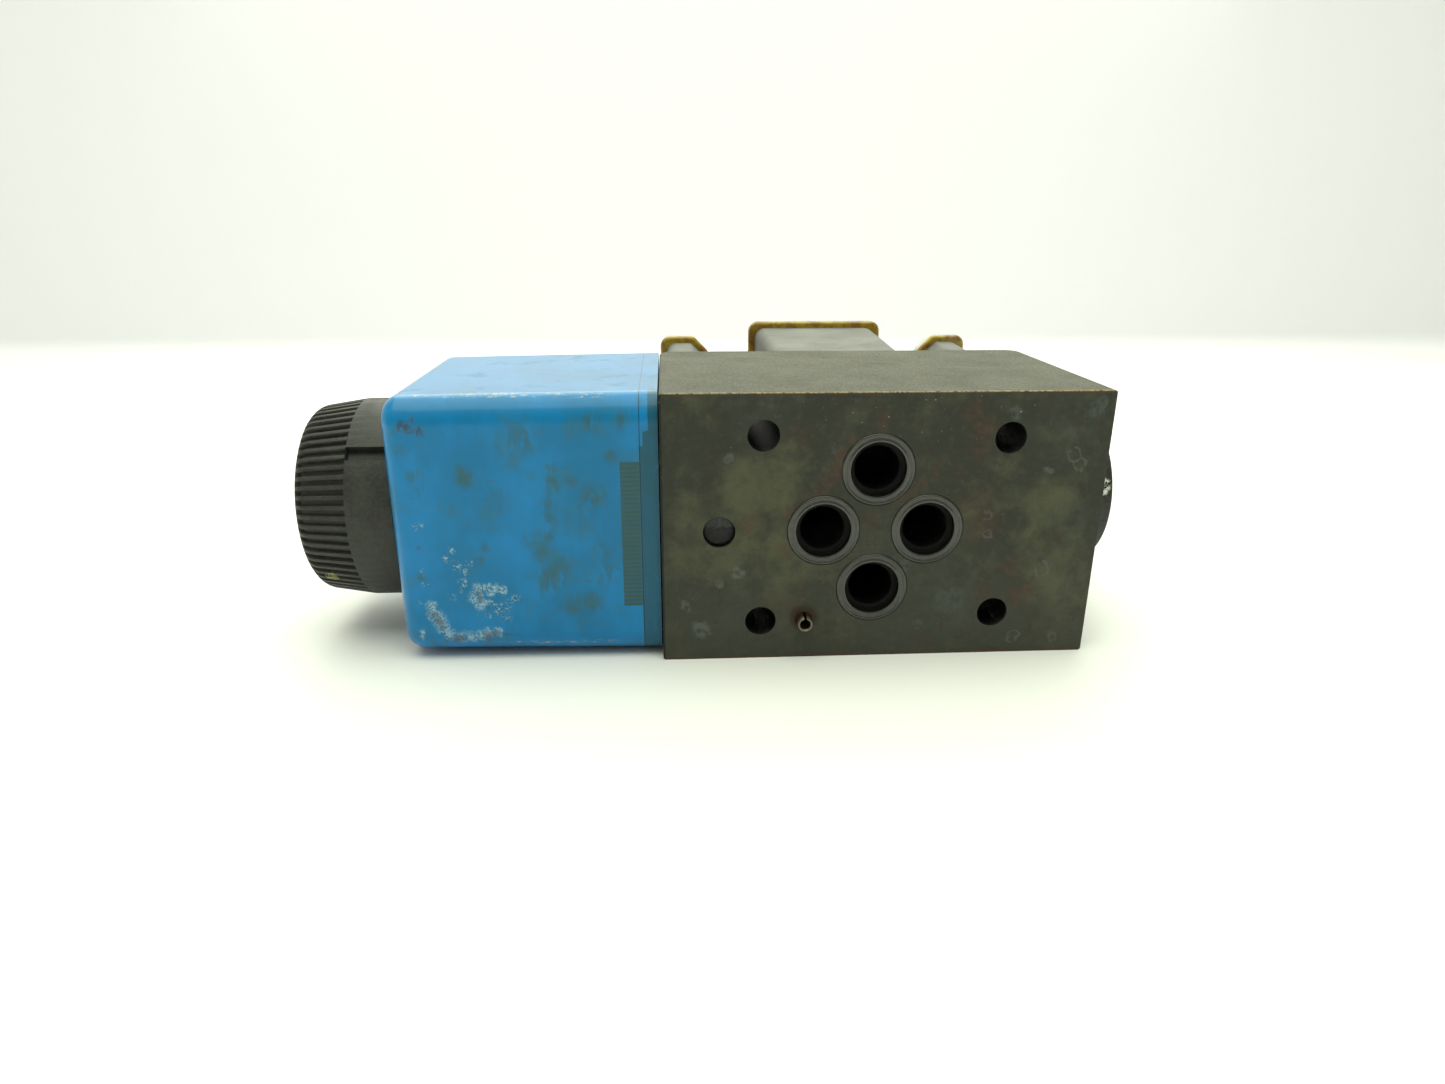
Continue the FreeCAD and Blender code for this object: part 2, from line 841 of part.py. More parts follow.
def make_nut_insert():
    start, end = nut_insert_span()
    bore_r = tube_r + nut_thread_clearance
    ring = sleeve(bore_r + nut_insert_wall, bore_r, start, end)
    middle = (start + end) / 2
    half = nut_insert_groove_width / 2
    inner = bore_r + nut_insert_wall / 2
    return ring.cut(sleeve(bore_r + nut_insert_wall + 1, inner, middle - half, middle + half))


def make_nut_seal():
    x = nut_face - nut_seal_d / 2
    return o_ring_x(tube_r + nut_thread_clearance, nut_seal_d, x)


# Wiring box
def box_corners():
    """The rim's corners across Y: corner ears, bolt pockets and a boss in the middle."""
    quarter = [
        (box_half_length, box_ear_half_width, box_corner_radius),
        (box_pocket_outer_x + box_ear_bevel, box_ear_half_width, box_bevel_radius),
        (box_pocket_outer_x, box_ear_half_width - box_ear_bevel, box_bevel_radius),
        (box_pocket_outer_x, box_pocket_z, box_pocket_radius),
        (box_boss_half_length, box_pocket_z, box_pocket_radius),
        (box_boss_half_length, box_boss_half_width, box_corner_radius),
    ]
    corners = []
    for sx, sz, order in ((1, 1, 1), (-1, 1, -1), (-1, -1, 1), (1, -1, -1)):
        for x, z, radius in quarter[::order]:
            corners.append((Vector(sx * x, 0, sz * z), radius))
    return corners


def box_outline(inset, y):
    """The rim's outline with every side moved inwards by inset, at height y."""
    corners = box_corners()
    moved = []
    for k, (corner, radius) in enumerate(corners):
        arriving = (corner - corners[k - 1][0]).normalize()
        leaving = (corners[(k + 1) % len(corners)][0] - corner).normalize()
        normals = [Vector(-d.z, 0, d.x) for d in (arriving, leaving)]
        both = normals[0] + normals[1]
        shift = both * (inset / (1 + normals[0].dot(normals[1])))
        moved.append((corner + shift + Vector(0, y, 0), radius))
    return rounded_loop(moved)


def box_prism(inset_low, inset_high, y0, y1):
    loops = [box_outline(inset_low, y0), box_outline(inset_high, y1)]
    return Part.makeLoft(loops, True, True)


def box_hollow(y0, y1):
    """The space for the wiring: along the middle and out into the boss. The ears stay solid."""
    side = rim_overhang + box_draft + box_wall
    x, z = box_half_length - side, box_pocket_z - side
    along = block(-x, x, y0, y1, -z, z)
    x, z = box_boss_half_length - side, box_boss_half_width - side
    return along.fuse(block(-x, x, y0, y1, -z, z)).removeSplitter()


def rim_edges(shape, y):
    """The edges of shape that lie in the plane at height y."""
    return [e for e in shape.Edges if all(abs(v.Y - y) < near for v in e.Vertexes)]


def cover_screw_places():
    return [(a * cover_screw_x, b * cover_screw_z) for a in (-1, 1) for b in (-1, 1)]


def lead_window(x0, x1, grow=0.0):
    """The slot in an end wall of the box for a coil's lead housing."""
    low = lead_window_low - grow
    half = lead_window_half_width + grow
    return block(x0, x1, low, low + lead_window_height + 2 * grow, -half, half)


def make_wiring_box():
    low_inset = rim_overhang + box_draft
    shell = box_prism(low_inset, rim_overhang, box_bottom, box_top)
    floor_top = box_bottom + box_floor
    box = shell.cut(box_hollow(floor_top, box_top + 1))
    wall = box_boss_half_width - rim_overhang - box_draft
    inner = conduit_boss_length - wall
    entry = bar(conduit_boss_d / 2, -box_boss_half_width, inner, conduit_x, conduit_y)
    box = box.fuse(entry.common(shell)).removeSplitter()
    cuts = [bar(conduit_d / 2, -box_boss_half_width - 1, inner + 1, conduit_x, conduit_y)]
    for x, z in cover_screw_places():
        depth = box_top - cover_screw_length
        cuts.append(post(cover_screw_d / 2, depth, box_top + 1, x, z))
    for x, z in box_screw_places():
        cuts.append(post(box_screw_d / 2 + fit_gap, box_bottom - 1, floor_top + 1, x, z))
    outside = box_half_length + 1
    inside = box_half_length - low_inset - box_wall - 1
    cuts.append(lead_window(-outside, -inside))
    cuts.append(lead_window(inside, outside))
    blind = box_bottom + box_floor - earth_screw_reach
    cuts.append(post(earth_screw_d / 4, blind, floor_top + 1, earth_screw_x, 0))
    return box.cut(cuts)


def make_box_gasket():
    """The flat gasket between the box and the body."""
    inset = rim_overhang + box_draft + box_gasket_inset
    gasket = box_prism(inset, inset, body_height, box_bottom)
    holes = [
        post(box_screw_d / 2 + fit_gap, body_height - 1, box_bottom + 1, x, z)
        for x, z in box_screw_places()
    ]
    return gasket.cut(holes)


def cover_screw_holes(y0, y1):
    r = cover_screw_d / 2 + fit_gap
    return [post(r, y0, y1, x, z) for x, z in cover_screw_places()]


def make_cover_gasket():
    """The moulded rim seal: a rounded bead that stands proud of the box wall."""
    seal = box_prism(0, 0, box_top, cover_bottom)
    seal = seal.makeFillet(bead_radius, rim_edges(seal, box_top))
    seal = seal.makeFillet(bead_radius, rim_edges(seal, cover_bottom))
    holes = cover_screw_holes(box_top - 1, cover_bottom + 1)
    return seal.cut([box_hollow(box_top - 1, cover_bottom + 1), *holes])


def make_cover():
    cover = box_prism(cover_inset, cover_inset + cover_draft, cover_bottom, cover_top)
    cover = cover.makeFillet(cover_edge_radius, rim_edges(cover, cover_top))
    cuts = [box_hollow(cover_bottom - 1, cover_bottom + cover_recess)]
    cuts += cover_screw_holes(cover_bottom - 1, cover_top + 1)
    seat = cover_top - cover_screw_head_height
    for x, z in cover_screw_places():
        cuts.append(post(cover_screw_head_d / 2 + 2 * fit_gap, seat, cover_top + 1, x, z))
    return cover.cut(cuts)


def make_cover_screws():
    seat = cover_top - cover_screw_head_height
    length = seat - box_top + cover_screw_length - 1
    screws = []
    for x, z in cover_screw_places():
        screws.append(
            screw_y(cover_screw_d - fit_gap, cover_screw_head_d, cover_screw_head_height,
                    seat, length, x, z)
        )
    return Part.makeCompound(screws)


def make_box_screws():
    seat = box_bottom + box_floor
    length = seat - body_height + box_screw_depth - 1
    screws = []
    for x, z in box_screw_places():
        screws.append(
            screw_y(box_screw_d - fit_gap, box_screw_head_d, box_screw_head_height,
                    seat, length, x, z)
        )
    return Part.makeCompound(screws)


def make_nameplate():
    half_x = nameplate_length / 2
    half_z = nameplate_width / 2
    plate = block(-half_x, half_x, cover_top, cover_top + nameplate_thickness, -half_z, half_z)
    corners = edges_along(plate, Vector(0, 1, 0), lambda c: True)
    return plate.makeFillet(nameplate_radius, corners)


def make_blank_plug():
    """Closes the lead window that a second coil would use."""
    wall_outer = box_half_length - rim_overhang - box_draft
    outer = lead_window(wall_outer - box_wall - blank_flange, wall_outer, -fit_gap * 4)
    inner_x = wall_outer - box_wall - fit_gap * 4
    return outer.fuse(lead_window(inner_x - blank_flange, inner_x, blank_flange)).removeSplitter()


# Wiring
def terminal_places():
    first = -(terminal_count - 1) / 2 * terminal_pitch
    return [first + k * terminal_pitch for k in range(terminal_count)]


def terminal_base():
    return box_bottom + box_floor + box_screw_head_height + terminal_lift


def make_terminal_block():
    base = terminal_base()
    top = base + terminal_height
    half_x = terminal_length / 2
    half_z = terminal_width / 2
    strip = block(-half_x, half_x, base, top, -half_z, half_z)
    floor = box_bottom + box_floor
    for x in (-half_x, half_x - terminal_leg):
        strip = strip.fuse(block(x, x + terminal_leg, floor, base, -half_z, half_z))
    strip = strip.removeSplitter()
    cuts = []
    for x in terminal_places():
        cuts.append(post(terminal_mouth_d / 2, top - terminal_mouth_depth, top + 1, x, 0))
        cuts.append(post(terminal_screw_d / 2, terminal_wire_y(), top, x, 0))
        cuts.append(bar(lead_d / 2 + small_chamfer, -half_z - 1, half_z + 1, x, terminal_wire_y()))
    return strip.cut(cuts)


def terminal_wire_y():
    return terminal_base() + wire_height


def make_terminal_screws():
    top = terminal_base() + terminal_height
    screws = []
    for x in terminal_places():
        tip = terminal_wire_y() + lead_d / 2 + fit_gap
        head = top - terminal_screw_sink
        screw = post(terminal_screw_d / 2 - fit_gap, tip, head, x, 0)
        slot = block(x - slot_width / 2, x + slot_width / 2, head - terminal_slot_depth, top,
                     -terminal_screw_d, terminal_screw_d)
        screws.append(screw.cut(slot))
    return Part.makeCompound(screws)


def make_earth_screw():
    seat = box_bottom + box_floor
    top = seat + earth_head_height
    screw = post(earth_screw_d / 2, seat, top, earth_screw_x, 0)
    bottom = seat - earth_screw_reach + 4 * fit_gap
    shank = post(earth_screw_d / 4 - fit_gap, bottom, seat, earth_screw_x, 0)
    slot = block(earth_screw_x - slot_width / 2, earth_screw_x + slot_width / 2,
                 top - terminal_slot_depth, top + 1, -earth_screw_d, earth_screw_d)
    return screw.fuse(shank).removeSplitter().cut(slot)


def make_lead_housing():
    """The moulded block on the coil that carries its terminals into the box."""
    wall_outer = -(box_half_length - rim_overhang - box_draft)
    x1 = wall_outer - lead_house_gap
    x0 = coil_plate_left - 1 - lead_house_length
    half = lead_house_width / 2
    top = lead_window_low + lead_window_height
    back = coil_back(coil_right) + fit_gap
    brim = top + lead_house_brim
    tower = block(x0, coil_plate_left, back, brim, -half, half)
    neck = block(coil_plate_left - 1, x1, lead_window_low - lead_house_gap, brim, -half, half)
    house = tower.fuse(neck).removeSplitter()
    up = edges_along(house, Vector(0, 1, 0), lambda c: c.x < x0 + near)
    house = house.makeFillet(lead_house_radius, up)
    tongue = lead_window(x1 - fit_gap, wall_outer + lead_tongue_length, -fit_gap * 4)
    hole = lead_opening().BoundBox
    shift = fit_gap * 3
    stem_foot = coil_back(coil_left) - coil_wall + coil_taper / 2 + fit_gap
    stem = block(hole.XMin + shift, hole.XMax - shift, stem_foot, back + 1,
                 hole.ZMin + shift, hole.ZMax - shift)
    return house.fuse([tongue, stem]).removeSplitter()


def spade_start():
    return -(box_half_length - rim_overhang - box_draft) + lead_tongue_length


def spade_y():
    return lead_window_low + lead_window_height / 2


def make_coil_terminals():
    half_w = spade_width / 2
    half_t = spade_thickness / 2
    blades = []
    for side in (-1, 1):
        z = side * spade_z
        y = spade_y()
        blade = block(spade_start(), spade_start() + spade_length, y - half_w, y + half_w,
                      z - half_t, z + half_t)
        blades.append(blade)
    return Part.makeCompound(blades)


def make_lead(side, column):
    """A lead from a coil terminal, along the wall, to one terminal of the strip."""
    start = Vector(spade_start() + spade_length, spade_y(), side * spade_z)
    x = terminal_places()[column]
    y = terminal_wire_y()
    wall_z = box_pocket_z - rim_overhang - box_draft - box_wall
    beside = side * (terminal_width / 2 + wall_z) / 2
    arm_end = -(box_boss_half_length - rim_overhang - box_draft - box_wall)
    bow = side * (terminal_width / 2 + lead_bow)
    points = [
        start,
        start + Vector(lead_bow / 2, 0, 0),
        Vector(-terminal_length / 2 - lead_bow / 2, (spade_y() + y) / 2, beside),
        Vector(arm_end + lead_bow / 4, y, beside),
        Vector((arm_end + x) / 2 + lead_bow / 4, y, bow * 0.9),
        Vector(x, y, bow),
        Vector(x, y, side * terminal_width / 2),
    ]
    return tube_along(points, lead_d / 2)


def tube_along(points, radius):
    """A round tube along straight runs joined by the largest tangent arcs they allow."""
    edges = []
    last = points[0]
    for before, here, after in zip(points, points[1:], points[2:]):
        u = (before - here).normalize()
        v = (after - here).normalize()
        half = u.getAngle(v) / 2
        shorter = min((before - here).Length, (after - here).Length)
        bend = 0.45 * shorter * math.tan(half)
        back = bend / math.tan(half)
        middle = here + (u + v).normalize() * (bend / math.sin(half) - bend)
        edges.append(Part.LineSegment(last, here + u * back).toShape())
        edges.append(Part.Arc(here + u * back, middle, here + v * back).toShape())
        last = here + v * back
    edges.append(Part.LineSegment(last, points[-1]).toShape())
    path = Part.Wire(edges)
    section = Part.Wire([Part.makeCircle(radius, points[0], points[1] - points[0])])
    return path.makePipeShell([section], True, True)


def make_leads():
    return Part.makeCompound([make_lead(-1, 1), make_lead(1, 2)])


pieces = {
    "valve_body": make_body,
    "port_seals": make_port_seals,
    "locating_pin": make_locating_pin,
    "drain_plug": make_drain_plug,
    "end_plug": make_end_plug,
    "end_plug_seal": make_end_plug_seal,
    "return_spring": make_return_spring,
    "spring_seat": make_spring_seat,
    "spool": make_spool,
    "push_pin": make_push_pin,
    "armature": make_armature,
    "override_pin": make_override_pin,
    "override_seal": make_override_seal,
    "pole_piece": make_pole_piece,
    "core_tube": make_core_tube,
    "core_tube_seal": make_tube_seal,
    "tube_end_plug": make_tube_end_plug,
    "air_gap_washer": make_air_gap_washer,
    "coil_can": make_coil_can,
    "coil_plate": make_coil_plate,
    "coil_bobbin": make_bobbin,
    "coil_winding": make_winding,
    "coil_resin": make_filler,
    "coil_nut": make_coil_nut,
    "nut_insert": make_nut_insert,
    "nut_seal": make_nut_seal,
    "wiring_box": make_wiring_box,
    "box_gasket": make_box_gasket,
    "cover_gasket": make_cover_gasket,
    "cover": make_cover,
    "cover_screws": make_cover_screws,
    "box_screws": make_box_screws,
    "nameplate": make_nameplate,
    "blank_plug": make_blank_plug,
    "terminal_block": make_terminal_block,
    "terminal_screws": make_terminal_screws,
    "earth_screw": make_earth_screw,
    "lead_housing": make_lead_housing,
    "coil_terminals": make_coil_terminals,
    "coil_leads": make_leads,
}

os.makedirs("parts", exist_ok=True)
for name, make in pieces.items():
    shape = make()
    solids = shape.Solids
    if not solids or not shape.isValid():
        print("PROBLEM:", name, "solids", len(solids), "valid", shape.isValid())
    shape.exportStep(os.path.join("parts", name + ".step"))
    print(f"{name}: {len(solids)} solids, {shape.Volume / 1000:.2f} cm3")
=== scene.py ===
import json
import math

import bmesh
import bpy
from mathutils import Matrix, Vector, noise


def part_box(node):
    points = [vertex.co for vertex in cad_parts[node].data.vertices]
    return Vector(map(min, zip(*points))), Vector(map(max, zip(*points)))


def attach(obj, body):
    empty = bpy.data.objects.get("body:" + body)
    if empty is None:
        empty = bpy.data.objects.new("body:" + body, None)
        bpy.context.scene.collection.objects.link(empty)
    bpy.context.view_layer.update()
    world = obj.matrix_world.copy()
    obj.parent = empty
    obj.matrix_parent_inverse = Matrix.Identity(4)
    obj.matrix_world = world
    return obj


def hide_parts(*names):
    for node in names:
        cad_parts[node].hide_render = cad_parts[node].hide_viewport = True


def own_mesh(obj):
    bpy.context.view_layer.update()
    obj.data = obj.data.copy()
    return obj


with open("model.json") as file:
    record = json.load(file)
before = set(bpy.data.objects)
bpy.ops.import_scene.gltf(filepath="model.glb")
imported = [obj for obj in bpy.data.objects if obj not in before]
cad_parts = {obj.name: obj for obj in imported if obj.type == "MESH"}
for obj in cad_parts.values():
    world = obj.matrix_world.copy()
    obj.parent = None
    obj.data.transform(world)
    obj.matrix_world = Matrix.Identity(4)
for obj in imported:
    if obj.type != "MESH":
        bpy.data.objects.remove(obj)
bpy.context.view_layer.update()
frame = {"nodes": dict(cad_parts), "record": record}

mm = 0.001
xAxis = Vector((1, 0, 0))
yAxis = Vector((0, 1, 0))
zAxis = Vector((0, 0, 1))
record = frame["record"]
mounts = {m["name"]: m for m in record["mounts"]}
bodyLow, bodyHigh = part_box("valve_body")
tubeLow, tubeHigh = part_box("core_tube")
spoolAxis = Vector((0, (tubeLow.y + tubeHigh.y) / 2, 0))
print("frame loaded:", len(frame["nodes"]), "nodes")


# ---- shader maths: a socket that can be added, multiplied and compared
class Link:
    def __init__(self, paint, socket):
        self.paint = paint
        self.socket = socket

    def maths(self, operation, first, second):
        return self.paint.add("Math", {"operation": operation}, {0: first, 1: second})

    def __add__(self, other):
        return self.maths("ADD", self, other)

    def __sub__(self, other):
        return self.maths("SUBTRACT", self, other)

    def __rsub__(self, other):
        return self.maths("SUBTRACT", other, self)

    def __mul__(self, other):
        return self.maths("MULTIPLY", self, other)

    def __gt__(self, other):
        return self.maths("GREATER_THAN", self, other)

    def __or__(self, other):  # either mask
        return self.maths("MAXIMUM", self, other)

    __radd__ = __add__
    __rmul__ = __mul__


class Board:
    # a node tree with nothing on it yet
    def __init__(self, tree):
        self.tree = tree
        self.tree.nodes.clear()

    def add(self, kind, settings=None, values=None, output=0):
        node = self.tree.nodes.new("ShaderNode" + kind)
        for name, value in (settings or {}).items():
            if name == "stops":
                for stop, (position, colour) in zip(node.color_ramp.elements, value):
                    stop.position = position
                    stop.color = (*colour, 1)
            else:
                setattr(node, name, value)
        for name, value in (values or {}).items():
            if isinstance(value, Link):
                self.tree.links.new(value.socket, node.inputs[name])
            else:
                node.inputs[name].default_value = value
        return Link(self, node.outputs[output]) if node.outputs else None

    def part(self, vector, index):
        return self.add("SeparateXYZ", values={0: vector}, output=index)

    def fade(self, value, start, end):  # 0 at start, 1 at end
        limits = {"Value": value, "From Min": start, "From Max": end}
        return self.add("MapRange", {"interpolation_type": "SMOOTHSTEP"}, limits)

    def between(self, value, low, high, soft):
        return self.fade(value, low - soft, low + soft) * self.fade(value, high + soft, high - soft)

    def mix(self, share, first, second):
        colours = [c if isinstance(c, Link) else (*c, 1) for c in (first, second)]
        return self.add("Mix", {"data_type": "RGBA"}, {0: share, 6: colours[0], 7: colours[1]}, 2)


class Paint(Board):
    # one material: a principled surface, and patterns placed in millimetres on the object
    def __init__(self, name, **constants):
        self.material = bpy.data.materials.new(name)
        self.material.use_nodes = True
        super().__init__(self.material.node_tree)
        surface = self.tree.nodes.new("ShaderNodeBsdfPrincipled")
        output = self.tree.nodes.new("ShaderNodeOutputMaterial")
        self.tree.links.new(surface.outputs[0], output.inputs["Surface"])
        self.surface = surface
        for socket, value in constants.items():
            surface.inputs[socket.replace("_", " ")].default_value = value
        place = self.add("TexCoord", output="Object")
        self.place = self.add("VectorMath", {"operation": "SCALE"}, {0: place, "Scale": 1 / mm})
        self.flat = self.add("VectorMath", {"operation": "MULTIPLY"}, {0: self.place, 1: (1, 0, 1)})
        self.x = self.part(self.place, 0)
        self.y = self.part(self.place, 1)
        self.z = self.part(self.place, 2)

    def noise(self, scale, detail=3.0, roughness=0.55, where=None, output=0):
        values = {"Vector": where or self.place, "Scale": scale, "Detail": detail, "Roughness": roughness}
        return self.add("TexNoise", values=values, output=output)

    def stretch(self, amounts):  # a pattern drawn out along an axis
        return self.add("VectorMath", {"operation": "MULTIPLY"}, {0: self.place, 1: amounts})

    def wander(self, amount, scale, start=None):  # the same place, shaken by noise
        shake = self.noise(scale, output="Color")
        shake = self.add("VectorMath", {"operation": "SUBTRACT"}, {0: shake, 1: (0.5, 0.5, 0.5)})
        shake = self.add("VectorMath", {"operation": "SCALE"}, {0: shake, "Scale": amount})
        both = {0: start or self.flat, 1: shake}
        return self.add("VectorMath", {"operation": "ADD"}, both)

    def away(self, where, x, z):
        flat = self.add("VectorMath", {"operation": "MULTIPLY"}, {0: where, 1: (1, 0, 1)})
        return self.add("VectorMath", {"operation": "DISTANCE"}, {0: flat, 1: (x, 0, z)}, "Value")

    def near(self, amount, scale, centre):  # how far a shaken place is from a point
        places = {0: self.wander(amount, scale, self.place), 1: centre}
        return self.add("VectorMath", {"operation": "DISTANCE"}, places, "Value")

    def spots(self, where, places, soft=0.5):
        # one mask for round marks at (x, z, radius, strength)
        total = None
        for x, z, radius, strength in places:
            edge = self.fade(self.away(where, x, z), radius * (1 + soft), radius * (1 - soft))
            mark = edge * strength
            total = mark if total is None else total | mark
        return total

    def colour(self, value):
        self.tree.links.new(value.socket, self.surface.inputs["Base Color"])

    def rough(self, value):
        self.tree.links.new(value.socket, self.surface.inputs["Roughness"])

    def bump(self, height, depth):  # depth in millimetres
        values = {"Strength": 1.0, "Distance": depth * mm, "Height": height}
        normal = self.add("Bump", values=values)
        self.tree.links.new(normal.socket, self.surface.inputs["Normal"])


# ---- cast body: rough grey skin, a ground mounting face, passages darkened by oil and painted shade
castValues = {
    "skin": (0.078, 0.078, 0.056),
    "skinLight": (0.150, 0.150, 0.116),
    "pit": (0.030, 0.029, 0.022),
    "speck": (0.46, 0.44, 0.34),
    "ground": (0.032, 0.034, 0.025),
    "groundLight": (0.078, 0.082, 0.046),
    "dusty": (0.068, 0.070, 0.050),
    "slate": (0.050, 0.058, 0.049),
    "pale": (0.098, 0.110, 0.104),
    "rust": (0.078, 0.037, 0.026),
    "umber": (0.040, 0.025, 0.016),
    "edge": (0.50, 0.40, 0.20),
    "passage": (0.004, 0.004, 0.004),
    "rustMarks": [
        (-1.2, 18.8, 1.5, 0.7), (-5.4, 14.6, 1.3, 0.9), (-7.0, 12.6, 1.3, 1.0), (-8.3, 10.6, 1.3, 1.0),
        (-9.6, 8.8, 1.2, 1.0), (-10.8, 7.1, 1.2, 0.9), (-12.8, 5.0, 1.2, 0.7), (-14.7, 16.6, 2.0, 0.4),
        (-15.7, 2.9, 1.6, 0.8), (-16.3, -3.3, 1.3, 0.9), (-22.3, 1.4, 1.5, 0.7), (-17.9, -12.7, 1.6, 0.4),
        (-13.6, -10.6, 1.2, 0.6), (-14.6, -13.0, 1.4, 0.5), (13.8, 20.1, 1.7, 0.8), (15.4, 17.2, 1.9, 1.0),
        (15.0, 13.6, 1.5, 0.8), (12.2, 10.2, 0.9, 0.7), (9.2, 11.6, 0.8, 0.8), (7.8, 9.6, 0.8, 0.8),
        (6.0, 8.2, 0.9, 0.9), (4.1, 6.9, 1.2, 1.0), (2.2, 5.2, 1.2, 0.7), (13.4, 3.6, 1.8, 0.5),
        (17.2, 1.2, 2.8, 0.7), (16.1, 5.0, 1.8, 0.5), (22.5, -6.8, 1.6, 0.7), (24.0, -12.3, 1.5, 1.0),
        (26.2, -11.1, 1.4, 0.9), (25.2, -14.2, 1.2, 0.7), (17.7, -11.3, 1.4, 0.7), (-2.0, 1.6, 1.8, 0.6),
        (8.6, -20.6, 1.6, 0.5), (26.0, 21.0, 1.0, 0.4),
    ],
    "paleMarks": [
        (-25.8, 12.6, 0.8, 0.7), (-24.4, -7.4, 1.2, 1.0), (-27.2, -9.2, 0.7, 0.8), (-33.0, -13.3, 0.9, 0.9),
        (-30.5, -17.7, 1.6, 1.0), (20.6, 19.6, 1.3, 0.6), (34.4, 20.4, 1.5, 0.5), (27.2, 9.8, 0.8, 0.8),
        (12.6, -13.0, 2.8, 0.35), (-8.3, 14.0, 1.0, 0.3), (7.4, -17.6, 1.0, 0.4), (3.4, -6.4, 1.8, 0.4),
    ],
    "slateMarks": [
        (12.0, -12.0, 7.0, 0.9), (4.0, -19.0, 6.0, 0.7), (30.0, 18.0, 6.0, 0.7), (22.0, -18.0, 4.0, 0.6),
        (-24.0, -16.0, 6.0, 0.7), (-1.0, 0.0, 3.5, 0.9), (-20.0, 20.5, 5.0, 0.5), (31.0, 2.0, 3.5, 0.6),
    ],
    "oliveMarks": [
        (-20.0, 8.5, 6.5, 0.9), (-15.5, -5.1, 5.5, 1.0), (-28.0, -3.0, 6.0, 0.8), (-31.0, 4.0, 4.0, 0.6),
        (28.0, 4.0, 5.0, 0.7), (30.5, -8.0, 5.5, 0.9), (20.0, 12.0, 4.0, 0.5), (26.0, -3.0, 4.0, 0.6),
    ],
    "rings": [
        (31.2, 12.5, 1.0), (32.3, 11.0, 0.9), (17.7, 2.3, 0.7), (28.2, -7.6, 1.1), (24.4, -20.2, 0.9),
        (31.6, -20.6, 0.6), (18.1, -1.2, 0.7),
    ],
}


